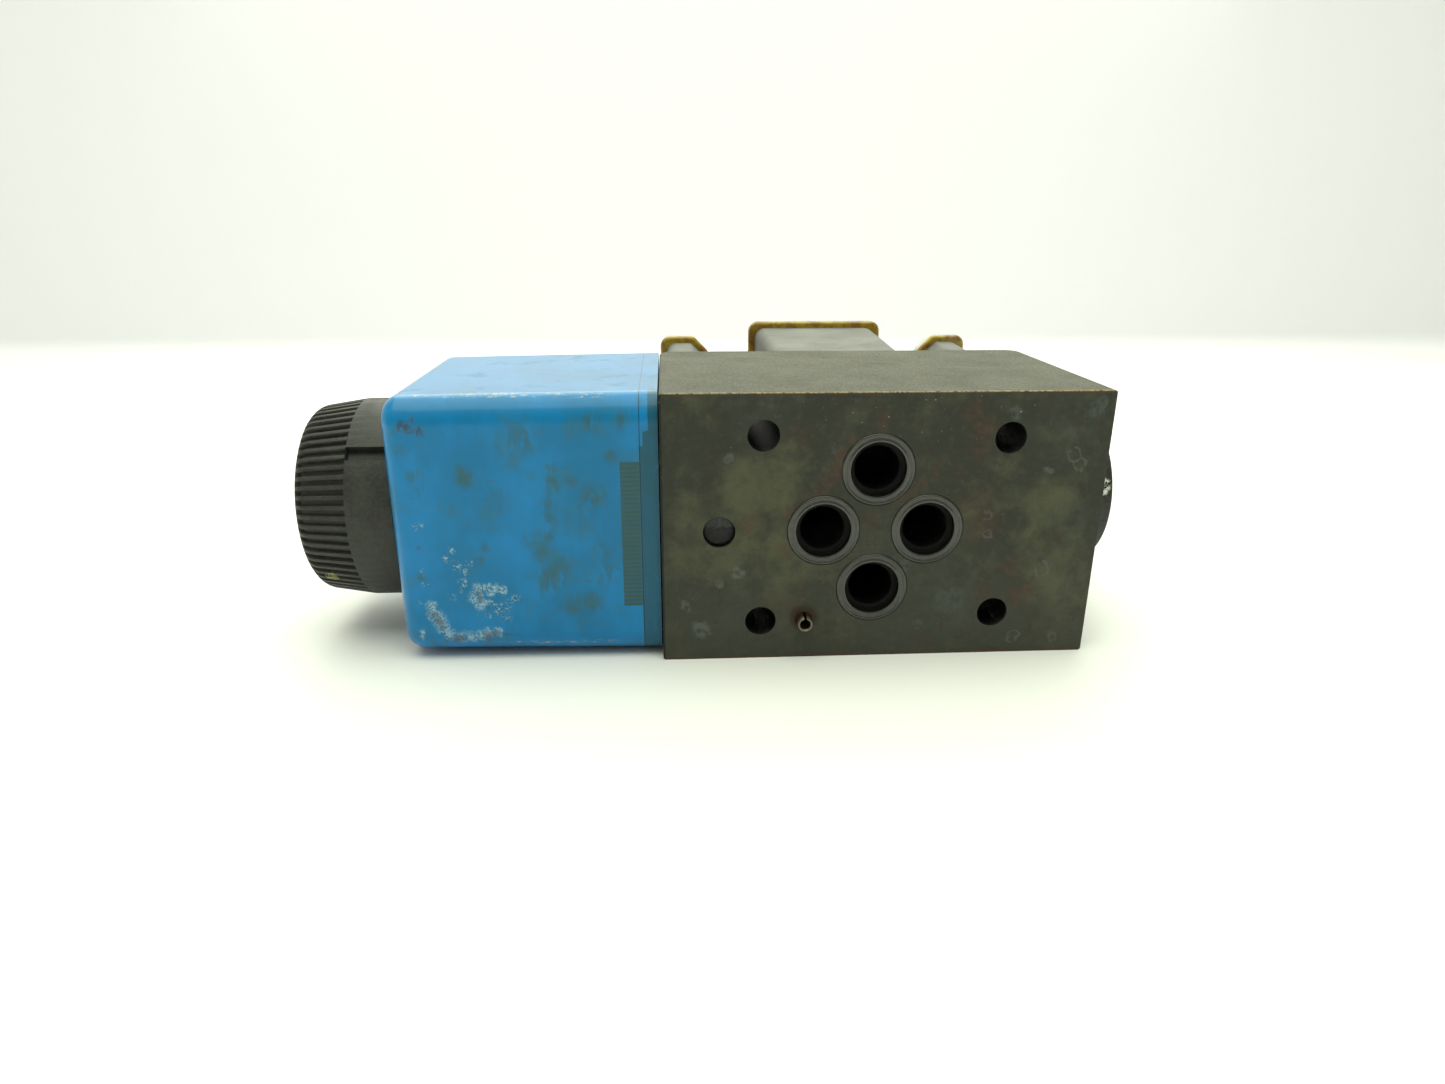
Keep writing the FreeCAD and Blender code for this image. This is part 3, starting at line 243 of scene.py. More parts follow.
def castBody():
    v = castValues
    paint = Paint("castBody", Metallic=0.0, Specular_IOR_Level=0.22)
    pinX, pinZ = (mounts["locating_pin"]["pos_m"][i] / mm for i in (0, 2))
    face = paint.fade(paint.y, 0.09, 0.03)
    shaken = paint.wander(2.4, 0.45)
    ragged = paint.wander(7.0, 0.13)

    # the skin: sand texture with paler tops, open pits and a few bright specks
    sand = paint.noise(2.6, 4.0, 0.72)
    blotch = paint.noise(0.10, 4.0, 0.6)
    skin = paint.mix(paint.fade(sand + blotch * 0.4, 0.56, 0.86), v["skin"], v["skinLight"])
    skin = paint.mix(paint.fade(paint.noise(1.35, 2.0), 0.69, 0.75) * 0.8, skin, v["pit"])
    bright = paint.fade(paint.noise(3.1, 1.0), 0.765, 0.80) * (0.35 + paint.fade(paint.y, 14, 1) * 0.65)
    skin = paint.mix(bright, skin, v["speck"])

    # the ground face: cloudy olive and slate, stains, rust and dried rings
    cloud = paint.noise(0.11, 6.0, 0.66)
    fine = paint.noise(0.8, 5.0, 0.65)
    mottle = paint.noise(0.33, 5.0, 0.7)
    olive = paint.spots(ragged, v["oliveMarks"], 0.6)
    patch = paint.fade(cloud + mottle * 0.5 + olive * 0.26, 0.70, 1.12)
    ground = paint.mix(patch, v["ground"], v["groundLight"])
    ground = paint.mix(paint.fade(paint.z, 4, -22) * 0.38, ground, v["dusty"])
    slate = paint.spots(ragged, v["slateMarks"], 0.6) * paint.fade(mottle, 0.34, 0.56)
    ground = paint.mix(slate * 0.5, ground, v["slate"])
    stain = paint.fade(paint.noise(0.19, 6.0, 0.7), 0.56, 0.62) * paint.fade(mottle, 0.35, 0.6)
    ground = paint.mix(stain * 0.5, ground, v["umber"])
    pale = paint.spots(shaken, v["paleMarks"], 0.35) * paint.fade(fine, 0.36, 0.56)
    loose = paint.wander(1.9, 0.6)
    for x, z, radius in v["rings"]:
        ring = paint.between(paint.away(loose, x, z), radius - 0.12, radius + 0.22, 0.22)
        pale = pale | ring * paint.fade(fine, 0.40, 0.54) * 0.85
    ground = paint.mix(pale * 0.85, ground, v["pale"])
    bloom = paint.fade(fine, 0.36, 0.58)
    rust = paint.spots(shaken, v["rustMarks"], 0.7) * bloom
    ground = paint.mix(rust * 0.7, ground, v["rust"])
    halo = paint.fade(paint.away(paint.wander(0.7, 1.2), pinX - 0.1, pinZ + 0.5), 2.9, 1.9)
    ground = paint.mix(halo * 0.9, ground, v["umber"])
    band = paint.between(paint.x, -9, 22, 4.0) * paint.fade(paint.z, 13, 19)
    glints = paint.fade(paint.noise(1.9, 1.0), 0.735, 0.76) * (band | 0.10)
    ground = paint.mix(glints, ground, v["speck"])
    ground = paint.mix(paint.fade(fine, 0.5, 0.8) * 0.25, ground, v["pale"])

    # the edges round the ground face: rust lines, worn chips, a painted shade line in the seam by the coil,
    # and a bright top edge line that is worn metal and a painted highlight
    half = bodyHigh.z / mm
    broken = paint.fade(paint.noise(1.3, 4.0, 0.7), 0.40, 0.56)
    # painted highlight along the top front edge, over worn metal
    top = paint.fade(paint.z, half - 0.20, half - 0.10) * paint.fade(paint.y, 0.42, 0.22)
    top = top * (0.15 + broken * 0.85)
    scorch = paint.between(paint.z, half - 0.48, half - 0.22, 0.12) * face * paint.fade(mottle, 0.40, 0.55)
    foot = paint.fade(paint.z, -half + 0.5, -half + 0.25)
    left = paint.fade(paint.x, bodyLow.x / mm + 0.5, bodyLow.x / mm + 0.2) * paint.fade(paint.y, 0.8, 0.2)
    chips = left * paint.fade(paint.noise(0.9, 4.0, 0.8), 0.60, 0.64) * paint.fade(paint.z, 4, 14)
    ground = paint.mix((scorch | foot * face) * 0.75, ground, v["rust"])
    colour = paint.mix(face, skin, ground)
    # painted shade: the left edge goes near-black where the face meets the coil
    colour = paint.mix(left * 0.8, colour, v["passage"])
    colour = paint.mix((top | chips) * 0.85, colour, v["edge"])

    # inside: everything deeper than the skin, painted near-black as oil film and painted shade
    inX = paint.between(paint.x, bodyLow.x / mm + 0.9, bodyHigh.x / mm - 0.9, 0.3)
    inZ = paint.between(paint.z, -half + 0.9, half - 0.9, 0.3)
    inside = inX * inZ * paint.fade(paint.y, 0.10, 0.30) * paint.fade(paint.y, 46.0, 45.4)
    # painted shade: the bores go near-black with depth, together with their oil film
    oilAndShade = paint.mix(paint.fade(paint.y, 0.15, 0.9), v["ground"], v["passage"])
    colour = paint.mix(inside, colour, oilAndShade)
    paint.colour(colour)
    paint.rough(0.60 - face * 0.16 + fine * 0.08 - inside * 0.24 + pale * 0.15)
    paint.bump(sand * (1 - face * 0.95) + fine * face * 0.08 + paint.noise(0.5, 2.0) * (1 - face) * 0.5, 0.34)
    return paint.material


# ---- blue coil: glossy enamel, greasy film, scuffs down to the metal
coilValues = {
    "blue": (0.006, 0.205, 0.500),
    "blueDeep": (0.004, 0.160, 0.360),
    "film": (0.034, 0.140, 0.185),
    "grease": (0.040, 0.105, 0.085),
    "scuff": (0.33, 0.54, 0.66),
    "bare": (0.120, 0.088, 0.086),
    "rust": (0.090, 0.052, 0.032),
    "cream": (0.42, 0.40, 0.28),
    "residue": (0.032, 0.080, 0.076),
    "tape": (0.012, 0.075, 0.105),
    "seam": (0.006, 0.012, 0.014),
    "glue": {"left": -43.5, "low": -13.4, "high": 11.9},
    "smears": [
        (-68.2, 9.4, 1.5, 1.0), (-69.0, 10.6, 0.9, 0.9), (-48.0, 6.2, 1.9, 1.0), (-49.2, 4.2, 1.2, 0.8),
        (-54.6, 11.0, 0.9, 0.8), (-54.6, 9.0, 0.9, 0.9), (-54.7, 7.0, 0.9, 0.9), (-54.8, 5.0, 0.9, 0.8),
        (-55.2, 2.4, 1.0, 0.7), (-56.0, -0.5, 1.3, 0.7), (-57.0, -3.5, 1.5, 0.8), (-58.8, -1.5, 1.2, 0.6),
        (-55.4, -8.0, 2.2, 0.9), (-53.6, -6.4, 1.8, 0.8), (-56.6, -9.0, 1.6, 0.8), (-58.6, 16.3, 2.6, 0.8),
        (-61.2, 15.0, 1.8, 0.5), (-47.9, 18.4, 1.4, 0.9), (-52.1, -13.2, 1.9, 0.7),
        (-49.0, -12.6, 1.8, 0.8), (-46.3, -7.7, 1.9, 0.8), (-46.9, -3.6, 1.6, 0.6), (-76.4, 10.2, 1.2, 0.8),
        (-75.6, 7.6, 0.9, 0.6), (-60.5, 12.4, 1.6, 0.5), (-50.0, 0.5, 1.8, 0.5), (-67.2, -4.6, 0.8, 0.8),
        (-66.2, -2.6, 0.6, 0.8), (-75.6, -19.2, 1.4, 1.0), (-77.0, -7.6, 0.7, 0.9), (-44.9, 12.8, 0.9, 0.8),
        (-42.8, 18.6, 1.2, 0.9), (-70.8, 4.0, 1.2, 0.4), (-63.0, 6.0, 2.0, 0.35), (-51.0, 8.6, 1.0, 0.6),
        (-78.0, 14.0, 1.0, 0.5),
    ],
    "scribbles": [
        (-72.6, -4.4, 0.7, 1.0), (-71.8, -3.0, 0.6, 1.0), (-71.2, -5.6, 0.8, 1.0), (-70.0, -6.6, 0.7, 1.0),
        (-69.0, -5.2, 0.7, 1.0), (-70.3, -8.6, 0.8, 1.0), (-70.6, -10.0, 0.5, 0.8),
        (-64.4, -13.6, 1.2, 1.0), (-65.8, -12.4, 0.9, 1.0), (-63.2, -12.8, 0.9, 0.9),
        (-66.4, -14.6, 0.7, 0.8), (-63.6, -15.4, 0.8, 0.8), (-62.0, -11.8, 0.8, 0.6),
        (-77.2, 1.0, 0.6, 0.8), (-76.2, 1.6, 0.5, 0.8), (-76.8, -6.6, 0.5, 0.7), (-77.2, -9.0, 0.5, 0.7),
        (-72.6, -11.2, 0.7, 0.5), (-77.6, -12.2, 0.4, 0.8),
    ],
    "patches": [
        (-67.9, -9.8, 0.8, 1.0), (-68.4, -11.4, 1.1, 1.0), (-67.6, -12.6, 1.0, 1.0),
        (-66.4, -9.6, 0.8, 1.0), (-65.0, -9.9, 0.8, 1.0), (-63.9, -10.2, 0.7, 1.0),
        (-66.0, -10.6, 0.7, 0.9), (-76.0, -13.0, 0.9, 1.0), (-75.6, -14.4, 1.2, 1.0),
        (-74.8, -15.8, 1.2, 1.0), (-74.3, -17.2, 1.0, 1.0), (-73.3, -18.4, 1.0, 1.0),
        (-71.6, -18.9, 1.0, 1.0), (-69.8, -18.9, 0.9, 1.0), (-68.2, -18.6, 0.9, 1.0),
        (-66.8, -18.2, 1.0, 1.0), (-65.2, -17.9, 0.9, 1.0), (-78.0, -17.6, 0.6, 0.9),
        (-78.2, -18.6, 0.5, 0.8),
    ],
    "cores": [
        (-75.6, -14.6, 0.7, 1.0), (-75.0, -15.9, 0.7, 1.0), (-74.6, -17.0, 0.5, 0.9),
        (-72.4, -19.2, 0.9, 1.0), (-71.3, -19.0, 0.6, 1.0), (-66.9, -18.8, 0.9, 1.0),
        (-65.6, -18.2, 0.7, 1.0), (-68.2, -10.9, 0.5, 1.0), (-67.7, -11.8, 0.6, 0.9),
        (-66.3, -13.4, 0.3, 0.6), (-77.1, -2.4, 0.5, 0.7),
    ],
    "rustMarks": [
        (-77.2, 18.0, 0.8, 1.0), (-76.6, 17.4, 0.6, 0.9), (-75.0, 17.2, 0.7, 1.0), (-76.0, 18.8, 0.7, 0.6),
    ],
}


def bluePaint():
    v = coilValues
    paint = Paint(
        "bluePaint", Metallic=0.0, Specular_IOR_Level=0.15,
        Coat_Weight=0.6, Coat_Roughness=0.16, Coat_IOR=1.28,
    )
    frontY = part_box("coil_can")[0].y / mm
    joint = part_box("coil_plate")[0].x / mm
    front = paint.fade(paint.y, frontY + 7, frontY + 3)
    shaken = paint.wander(1.5, 0.9)
    shapes = paint.wander(2.2, 0.5)
    speckle = paint.noise(2.4, 5.0, 0.75)
    streak = paint.noise(0.7, 5.0, 0.65, where=paint.stretch((1.0, 0.4, 0.35)))
    scratch = paint.noise(1.1, 4.0, 0.7, where=paint.stretch((1.5, 1.0, 0.8)))

    cloud = paint.fade(paint.noise(0.055, 4.0, 0.6) + streak * 0.25, 0.48, 0.80)
    colour = paint.mix(cloud, v["blue"], v["blueDeep"])
    haze = paint.fade(paint.noise(0.14, 6.0, 0.66), 0.53, 0.68)
    colour = paint.mix(haze * 0.45, colour, v["film"])
    grime = paint.spots(shapes, v["smears"], 0.75) * paint.fade(streak, 0.36, 0.52) * front
    colour = paint.mix(grime * 0.7, colour, v["grease"])
    rubbed = paint.between(paint.x, -60, -45, 3) * paint.between(paint.z, -16, -5, 3) * front
    strokes = paint.fade(scratch, 0.60, 0.66) * rubbed
    colour = paint.mix(strokes * 0.6, colour, v["grease"])

    # the square of old glue at the body end, with rows of lines, the darker end band, and painted shade along
    # the plate's seam
    glue = v["glue"]
    square = paint.between(paint.x, glue["left"], joint - 0.1, 0.12)
    square = square * paint.between(paint.z, glue["low"], glue["high"], 0.15) * front
    waves = {"Vector": paint.place, "Scale": 0.42, "Distortion": 0.8}
    rows = paint.add("TexWave", {"bands_direction": "Z"}, waves)
    colour = paint.mix(square * (0.78 + rows * 0.2), colour, v["residue"])
    steps = joint + 1.4 - paint.fade(paint.z + streak, 17.6, 17.2) * 0.9
    steps = steps - paint.fade(paint.z, 14.6, 14.3) * 0.6
    band = ((paint.x - steps) > 0) * front * paint.fade(streak, 0.22, 0.42)
    colour = paint.mix(band * 0.8, colour, v["tape"])
    # painted shade: a near-black line along the seam between can and plate
    colour = paint.mix(paint.between(paint.x, joint - 0.07, joint + 0.07, 0.06) * 0.8, colour, v["seam"])

    # scuffs: pale scratched enamel round bare metal
    scribble = paint.spots(shaken, v["scribbles"], 0.45) * paint.fade(paint.noise(2.2, 4.0, 0.8), 0.52, 0.565)
    patches = paint.spots(shaken, v["patches"], 0.5) * paint.fade(speckle, 0.43, 0.52)
    worn = (scribble | patches) * front
    colour = paint.mix(worn * 0.9, colour, v["scuff"])
    cores = paint.spots(shaken, v["cores"], 0.6) * paint.fade(speckle, 0.47, 0.54) * front
    colour = paint.mix(cores, colour, v["bare"])
    rust = paint.spots(shaken, v["rustMarks"], 0.7) * paint.fade(speckle, 0.44, 0.54) * front
    colour = paint.mix(rust * 0.9, colour, v["rust"])

    # cream flecks along the upper and lower front edges, and stray ones
    top = paint.between(paint.z, 22.0, 22.5, 0.12) * paint.between(paint.x, -77, -45, 2.0)
    top = top * paint.fade(paint.y, frontY + 4.9, frontY + 4.0)
    chips = paint.fade(paint.noise(0.8, 5.0, 0.78, where=paint.stretch((1.0, 1.0, 2.6))), 0.545, 0.60)
    low = paint.between(paint.z, -20.7, -19.9, 0.25) * paint.between(paint.x, -64, -46, 2.0) * front
    colour = paint.mix((top | low) * chips * 0.75, colour, v["cream"])
    stray = paint.fade(paint.noise(1.5, 1.0), 0.81, 0.83) * (0.3 + paint.fade(paint.x, -70, -76) * 0.7)
    colour = paint.mix(stray * 0.8, colour, v["scuff"])
    line = paint.noise(0.3, 3.0, 0.5, where=paint.stretch((0.7, 3.0, 3.0)))
    colour = paint.mix(paint.fade(line, 0.70, 0.745) * 0.55, colour, v["grease"])
    paint.colour(colour)
    paint.rough(0.28 + haze * 0.14 + grime * 0.15 + (worn | cores) * 0.35 + speckle * 0.06)
    wear = (worn | cores | rust) * -0.5
    paint.bump(wear + paint.noise(0.35, 2.0) * 0.22 + speckle * 0.05, 0.12)
    return paint.material


# ---- makers for the plainer finishes
def moulded(name, colour, light, rough, grain=1.6, depth=0.05, dust=None):
    # plastic or rubber: fine grain, faint cloud, optional dust lying on it
    paint = Paint(name, Metallic=0.0)
    cloud = paint.noise(0.12, 4.0)
    fine = paint.noise(grain, 5.0, 0.65)
    base = paint.mix(paint.fade(cloud * 0.6 + fine * 0.4, 0.35, 0.7), colour, light)
    if dust:
        lie = paint.fade(paint.noise(0.3, 6.0, 0.7), 0.48, 0.72)
        base = paint.mix(lie * 0.5, base, dust)
    scratch = paint.noise(0.8, 2.0, 0.5, where=paint.stretch((0.25, 3.0, 3.0)))
    paint.colour(base)
    paint.rough(rough + (cloud - 0.5) * 0.2 + paint.fade(scratch, 0.62, 0.7) * 0.12)
    paint.bump(fine, depth)
    return paint.material


def turned(name, colour, stain, rough, metallic=1.0, lines=6.0, along=0, depth=0.02):
    # lathe-turned metal: rings across one axis, and dull patches
    paint = Paint(name, Metallic=metallic)
    amounts = [0.05, 0.05, 0.05]
    amounts[along] = lines
    rings = paint.noise(1.0, 3.0, 0.6, where=paint.stretch(amounts))
    patch = paint.fade(paint.noise(0.2, 5.0, 0.65), 0.45, 0.7)
    paint.colour(paint.mix(patch * 0.6 + rings * 0.15, colour, stain))
    paint.rough(rough + patch * 0.15 + rings * 0.12)
    paint.bump(rings, depth)
    return paint.material


def casting(name, colour, light, mark, rough):
    # grey painted die casting with rubbed dark marks
    paint = Paint(name, Metallic=0.0, Specular_IOR_Level=0.3)
    cloud = paint.noise(0.1, 4.0)
    peel = paint.noise(0.9, 4.0, 0.55)
    scuffs = paint.fade(paint.noise(0.5, 5.0, 0.7, where=paint.stretch((0.4, 1.0, 1.6))), 0.60, 0.70)
    chips = paint.fade(paint.noise(0.7, 1.0), 0.80, 0.83)
    base = paint.mix(paint.fade(cloud, 0.35, 0.7), colour, light)
    base = paint.mix(scuffs * 0.4, base, mark)
    base = paint.mix(chips * 0.8, base, (0.5, 0.5, 0.46))
    paint.colour(base)
    paint.rough(rough + scuffs * 0.15 + peel * 0.08)
    paint.bump(peel - chips * 0.8, 0.07)
    return paint.material


def amberSeal():
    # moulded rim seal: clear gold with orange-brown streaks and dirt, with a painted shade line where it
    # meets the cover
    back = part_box("cover_gasket")[1].y / mm
    paint = Paint("amberSeal", Metallic=0.0, Coat_Weight=0.35, Coat_Roughness=0.2)
    streak = paint.noise(0.25, 5.0, 0.65)
    gold = paint.mix(paint.fade(streak, 0.42, 0.60), (0.40, 0.27, 0.012), (0.24, 0.110, 0.008))
    dirt = paint.fade(paint.noise(0.8, 4.0), 0.5, 0.66)
    # painted shade: dark line along the joint with the cover
    joint = paint.fade(paint.y, back - 0.5, back - 0.15)
    paint.colour(paint.mix(joint | dirt * 0.45, gold, (0.050, 0.036, 0.010)))
    paint.rough(0.28 + dirt * 0.2)
    paint.bump(streak + dirt * 0.3, 0.06)
    return paint.material


def copperWire():
    # the winding: rows of lacquered wire round the bobbin
    paint = Paint("copperWire", Metallic=1.0)
    rows = paint.add("TexWave", {"bands_direction": "X"}, {"Vector": paint.place, "Scale": 0.55})
    patch = paint.noise(0.3, 4.0)
    paint.colour(paint.mix(patch, (0.70, 0.30, 0.13), (0.48, 0.16, 0.06)))
    paint.rough(0.28 + patch * 0.15)
    paint.bump(rows, 0.35)
    return paint.material


def rolledSteel():
    # spring pin: bright steel, rusty where it meets the body
    paint = Paint("rolledSteel", Metallic=1.0)
    spot = paint.noise(1.2, 4.0, 0.7)
    root = paint.fade(paint.y + spot * 0.9, -1.55, -0.7)
    paint.colour(paint.mix(root, (0.17, 0.155, 0.12), (0.060, 0.030, 0.018)))
    paint.rough(0.30 + root * 0.4 + spot * 0.15)
    paint.bump(spot, 0.04)
    return paint.material


def plugSteel():
    # black oxide end plug with a few white paint flecks on its flank
    paint = Paint("plugSteel", Metallic=0.2)
    fine = paint.noise(1.3, 5.0, 0.65)
    fleck = paint.fade(paint.near(1.8, 1.4, (42.3, 11.1, 3.7)), 1.9, 1.1) * paint.fade(fine, 0.45, 0.50)
    rub = paint.fade(paint.noise(0.5, 5.0, 0.7), 0.58, 0.7)
    base = paint.mix(paint.fade(fine, 0.3, 0.7), (0.014, 0.014, 0.013), (0.030, 0.030, 0.027))
    base = paint.mix(rub * 0.4, base, (0.09, 0.09, 0.08))
    paint.colour(paint.mix(fleck, base, (0.75, 0.76, 0.70)))
    paint.rough(0.42 + fine * 0.15)
    paint.bump(fine + fleck * 0.6, 0.05)
    return paint.material


def roughPlug():
    # peened plug in the mounting face: pitted dark grey, its upper part paler as painted light from above
    low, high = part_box("drain_plug")
    middle = (low.z + high.z) / 2 / mm
    paint = Paint("roughPlug", Metallic=0.3)
    pits = paint.noise(1.9, 5.0, 0.75)
    # painted light: the upper part is made paler as if lit from above
    litUpper = paint.fade(paint.z + pits * 2.2, middle + 1.5, middle + 1.9)
    dark = paint.mix(pits, (0.008, 0.008, 0.009), (0.040, 0.040, 0.042))
    paint.colour(paint.mix(litUpper, dark, (0.062, 0.066, 0.064)))
    paint.rough(0.55 + pits * 0.2)
    paint.bump(pits, 0.25)
    return paint.material


def portRubber():
    # port seals: nitrile filmed with the same grey dust as the face, rubbed bright on the lips; deeper in the
    # bore painted near-black as oil film and painted shade
    paint = Paint("portRubber", Metallic=0.0, Specular_IOR_Level=0.8)
    dust = paint.noise(0.7, 5.0, 0.65)
    lip = paint.fade(paint.y, 0.10, -0.02)
    ridge = paint.fade(paint.y, -0.03, -0.11)
    base = paint.mix(paint.fade(dust, 0.3, 0.65), (0.014, 0.015, 0.011), (0.034, 0.035, 0.026))
    base = paint.mix(ridge * 0.6, base, (0.012, 0.012, 0.010))
    # painted shade: everything behind the front lip goes near-black, with the oil film
    paint.colour(paint.mix(1 - lip, base, (0.005, 0.005, 0.004)))
    paint.rough(0.34 - ridge * 0.20 + dust * 0.12 - (1 - lip) * 0.16)
    paint.bump(dust, 0.04)
    return paint.material


def nutPlastic():
    # coil nut: charcoal plastic, dusty on the ribs
    paint = Paint("nutPlastic", Metallic=0.0, Specular_IOR_Level=0.32)
    fine = paint.noise(1.8, 5.0, 0.65)
    dust = paint.fade(paint.noise(0.35, 5.0, 0.7), 0.42, 0.68)
    base = paint.mix(paint.fade(fine, 0.3, 0.7), (0.021, 0.022, 0.018), (0.037, 0.038, 0.032))
    base = paint.mix(dust * 0.4, base, (0.060, 0.062, 0.051))
    fleck = paint.fade(paint.near(1.5, 1.0, (-95.0, 10.6, -10.6)), 1.5, 0.8) * paint.fade(fine, 0.44, 0.5)
    paint.colour(paint.mix(fleck * 0.9, base, (0.34, 0.32, 0.12)))
    paint.rough(0.40 + dust * 0.2 + fine * 0.08)
    paint.bump(fine, 0.05)
    return paint.material


finishes = {
    "cast_body": castBody(),
    "black_rubber": moulded("blackRubber", (0.012, 0.012, 0.012), (0.030, 0.030, 0.027), 0.5),
    "pin_steel": rolledSteel(),
    "dark_steel": plugSteel(),
    "ground_steel": turned("groundSteel", (0.62, 0.62, 0.62), (0.30, 0.29, 0.26), 0.14),
    "spring_steel": turned("springSteel", (0.34, 0.34, 0.35), (0.12, 0.10, 0.08), 0.30, along=1),
    "soft_iron": turned("softIron", (0.46, 0.46, 0.46), (0.20, 0.18, 0.15), 0.32),
    "tube_steel": turned("tubeSteel", (0.56, 0.55, 0.53), (0.28, 0.24, 0.18), 0.24),
    "brass": turned("brassTurned", (0.78, 0.56, 0.22), (0.42, 0.26, 0.09), 0.22),
    "blue_paint": bluePaint(),
    "bobbin_plastic": moulded(
        "bobbinPlastic", (0.52, 0.48, 0.36), (0.66, 0.62, 0.50), 0.45, dust=(0.30, 0.27, 0.20),
    ),
    "copper_wire": copperWire(),
    "resin": moulded(
        "pottingResin", (0.020, 0.018, 0.016), (0.045, 0.040, 0.034), 0.25, grain=0.4, depth=0.15,
    ),
    "black_plastic": nutPlastic(),
    "grey_box": casting("greyBox", (0.125, 0.125, 0.112), (0.175, 0.175, 0.158), (0.06, 0.06, 0.052), 0.52),
    "grey_cover": casting("greyCover", (0.40, 0.41, 0.36), (0.52, 0.53, 0.47), (0.16, 0.16, 0.13), 0.42),
    "amber_seal": amberSeal(),
    "plated_steel": turned("platedSteel", (0.66, 0.63, 0.52), (0.36, 0.31, 0.20), 0.26, along=1),
    "plate_aluminium": turned(
        "plateAluminium", (0.74, 0.74, 0.74), (0.50, 0.50, 0.49), 0.34, along=2, lines=9.0,
    ),
    "lead_insulation": moulded("leadInsulation", (0.26, 0.020, 0.016), (0.36, 0.035, 0.026), 0.38),
}
for entry in record["subparts"]:
    for holder in frame["nodes"][entry["node"]].material_slots:
        holder.material = finishes[entry["material_slot"]]
print("finishes made:", len(finishes))


# ---- helpers for new pieces
def finishPiece(name, bm, material, body, replaced=(), sharpest=35):
    bmesh.ops.remove_doubles(bm, verts=bm.verts, dist=0.002 * mm)
    bmesh.ops.recalc_face_normals(bm, faces=bm.faces)
    mesh = bpy.data.meshes.new(name)
    bm.to_mesh(mesh)
    bm.free()
    mesh.materials.append(material)
    mesh.shade_smooth()
    mesh.set_sharp_from_angle(angle=math.radians(sharpest))
    piece = bpy.data.objects.new(name, mesh)
    bpy.context.scene.collection.objects.link(piece)
    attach(piece, body)
    if replaced:
        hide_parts(*replaced)
    return piece


def lathe(bm, points, steps, centre, axis, out, closed=True):
    # turns a chain of (along, radius) points, in metres, into a round shape
    chain = [bm.verts.new(centre + axis * along + out * radius) for along, radius in points]
    pairs = list(zip(chain, chain[1:]))
    if closed:
        pairs.append((chain[-1], chain[0]))
    edges = [bm.edges.new(pair) for pair in pairs]
    bmesh.ops.spin(
        bm, geom=chain + edges, cent=centre, axis=axis, angle=2 * math.pi, steps=steps, use_merge=True
    )
    bmesh.ops.remove_doubles(bm, verts=bm.verts, dist=0.002 * mm)
    bmesh.ops.recalc_face_normals(bm, faces=bm.faces)


def polar(point, centre, axis):
    # how far along the axis a point is, and how far from it
    offset = point - centre
    along = offset.dot(axis)
    return along, (offset - axis * along).length


def ringEdges(bm, centre, axis, along, radius, near=0.03 * mm):
    found = []
    for edge in bm.edges:
        ends = [polar(v.co, centre, axis) for v in edge.verts]
        if all(abs(a - along) < near and abs(r - radius) < near for a, r in ends):
            found.append(edge)
    return found


def roundRings(bm, centre, axis, rings, segments=3):
    # rounds the sharp circles at (along, radius) by size
    for along, radius, size in rings:
        edges = ringEdges(bm, centre, axis, along, radius)
        bmesh.ops.bevel(
            bm, geom=edges, offset=size, segments=segments, profile=0.5, affect="EDGES",
            material=-1, offset_type="OFFSET",
        )


def hexSocket(bm, centre, axis, out, along, mouth, flats, depth, end):
    # joins a round opening of radius mouth to a six-sided hole, sinks it and closes its floor
    ring = ringEdges(bm, centre, axis, along, mouth)
    turn = Matrix((out, axis.cross(out), axis)).transposed().to_4x4()
    place = Matrix.Translation(centre + axis * along) @ turn
    made = bmesh.ops.create_circle(bm, segments=6, radius=flats / math.sqrt(3), matrix=place)
    rim = list({edge for v in made["verts"] for edge in v.link_edges})
    bmesh.ops.bridge_loops(bm, edges=ring + rim)
    sunk = bmesh.ops.extrude_edge_only(bm, edges=rim)["geom"]
    lower = [g for g in sunk if isinstance(g, bmesh.types.BMVert)]
    bmesh.ops.translate(bm, verts=lower, vec=axis * (-depth * end))
    floor = [g for g in sunk if isinstance(g, bmesh.types.BMEdge) and all(v in lower for v in g.verts)]
    bmesh.ops.contextual_create(bm, geom=floor)


# ---- coil nut: ribbed grip, smooth skirt with two tool slots
nutValues = {
    "ribs": 64,
    "skirtLength": 8.1 * mm,
    "endRadius": 16.6 * mm,
    "endRound": 2.2 * mm,
    "grooveDepth": 0.75 * mm,
    "grooveSlope": 0.16 * mm,
    "ribRound": 0.08 * mm,
    "accessRadius": 5.0 * mm,
    "wall": 4.3 * mm,
    "slotWidth": 2.8 * mm,
    "slotDepth": 1.5 * mm,
    "slotAngle": 40,
    "sealRoom": 1.6 * mm,
    "sealRadius": 11.98 * mm,
}


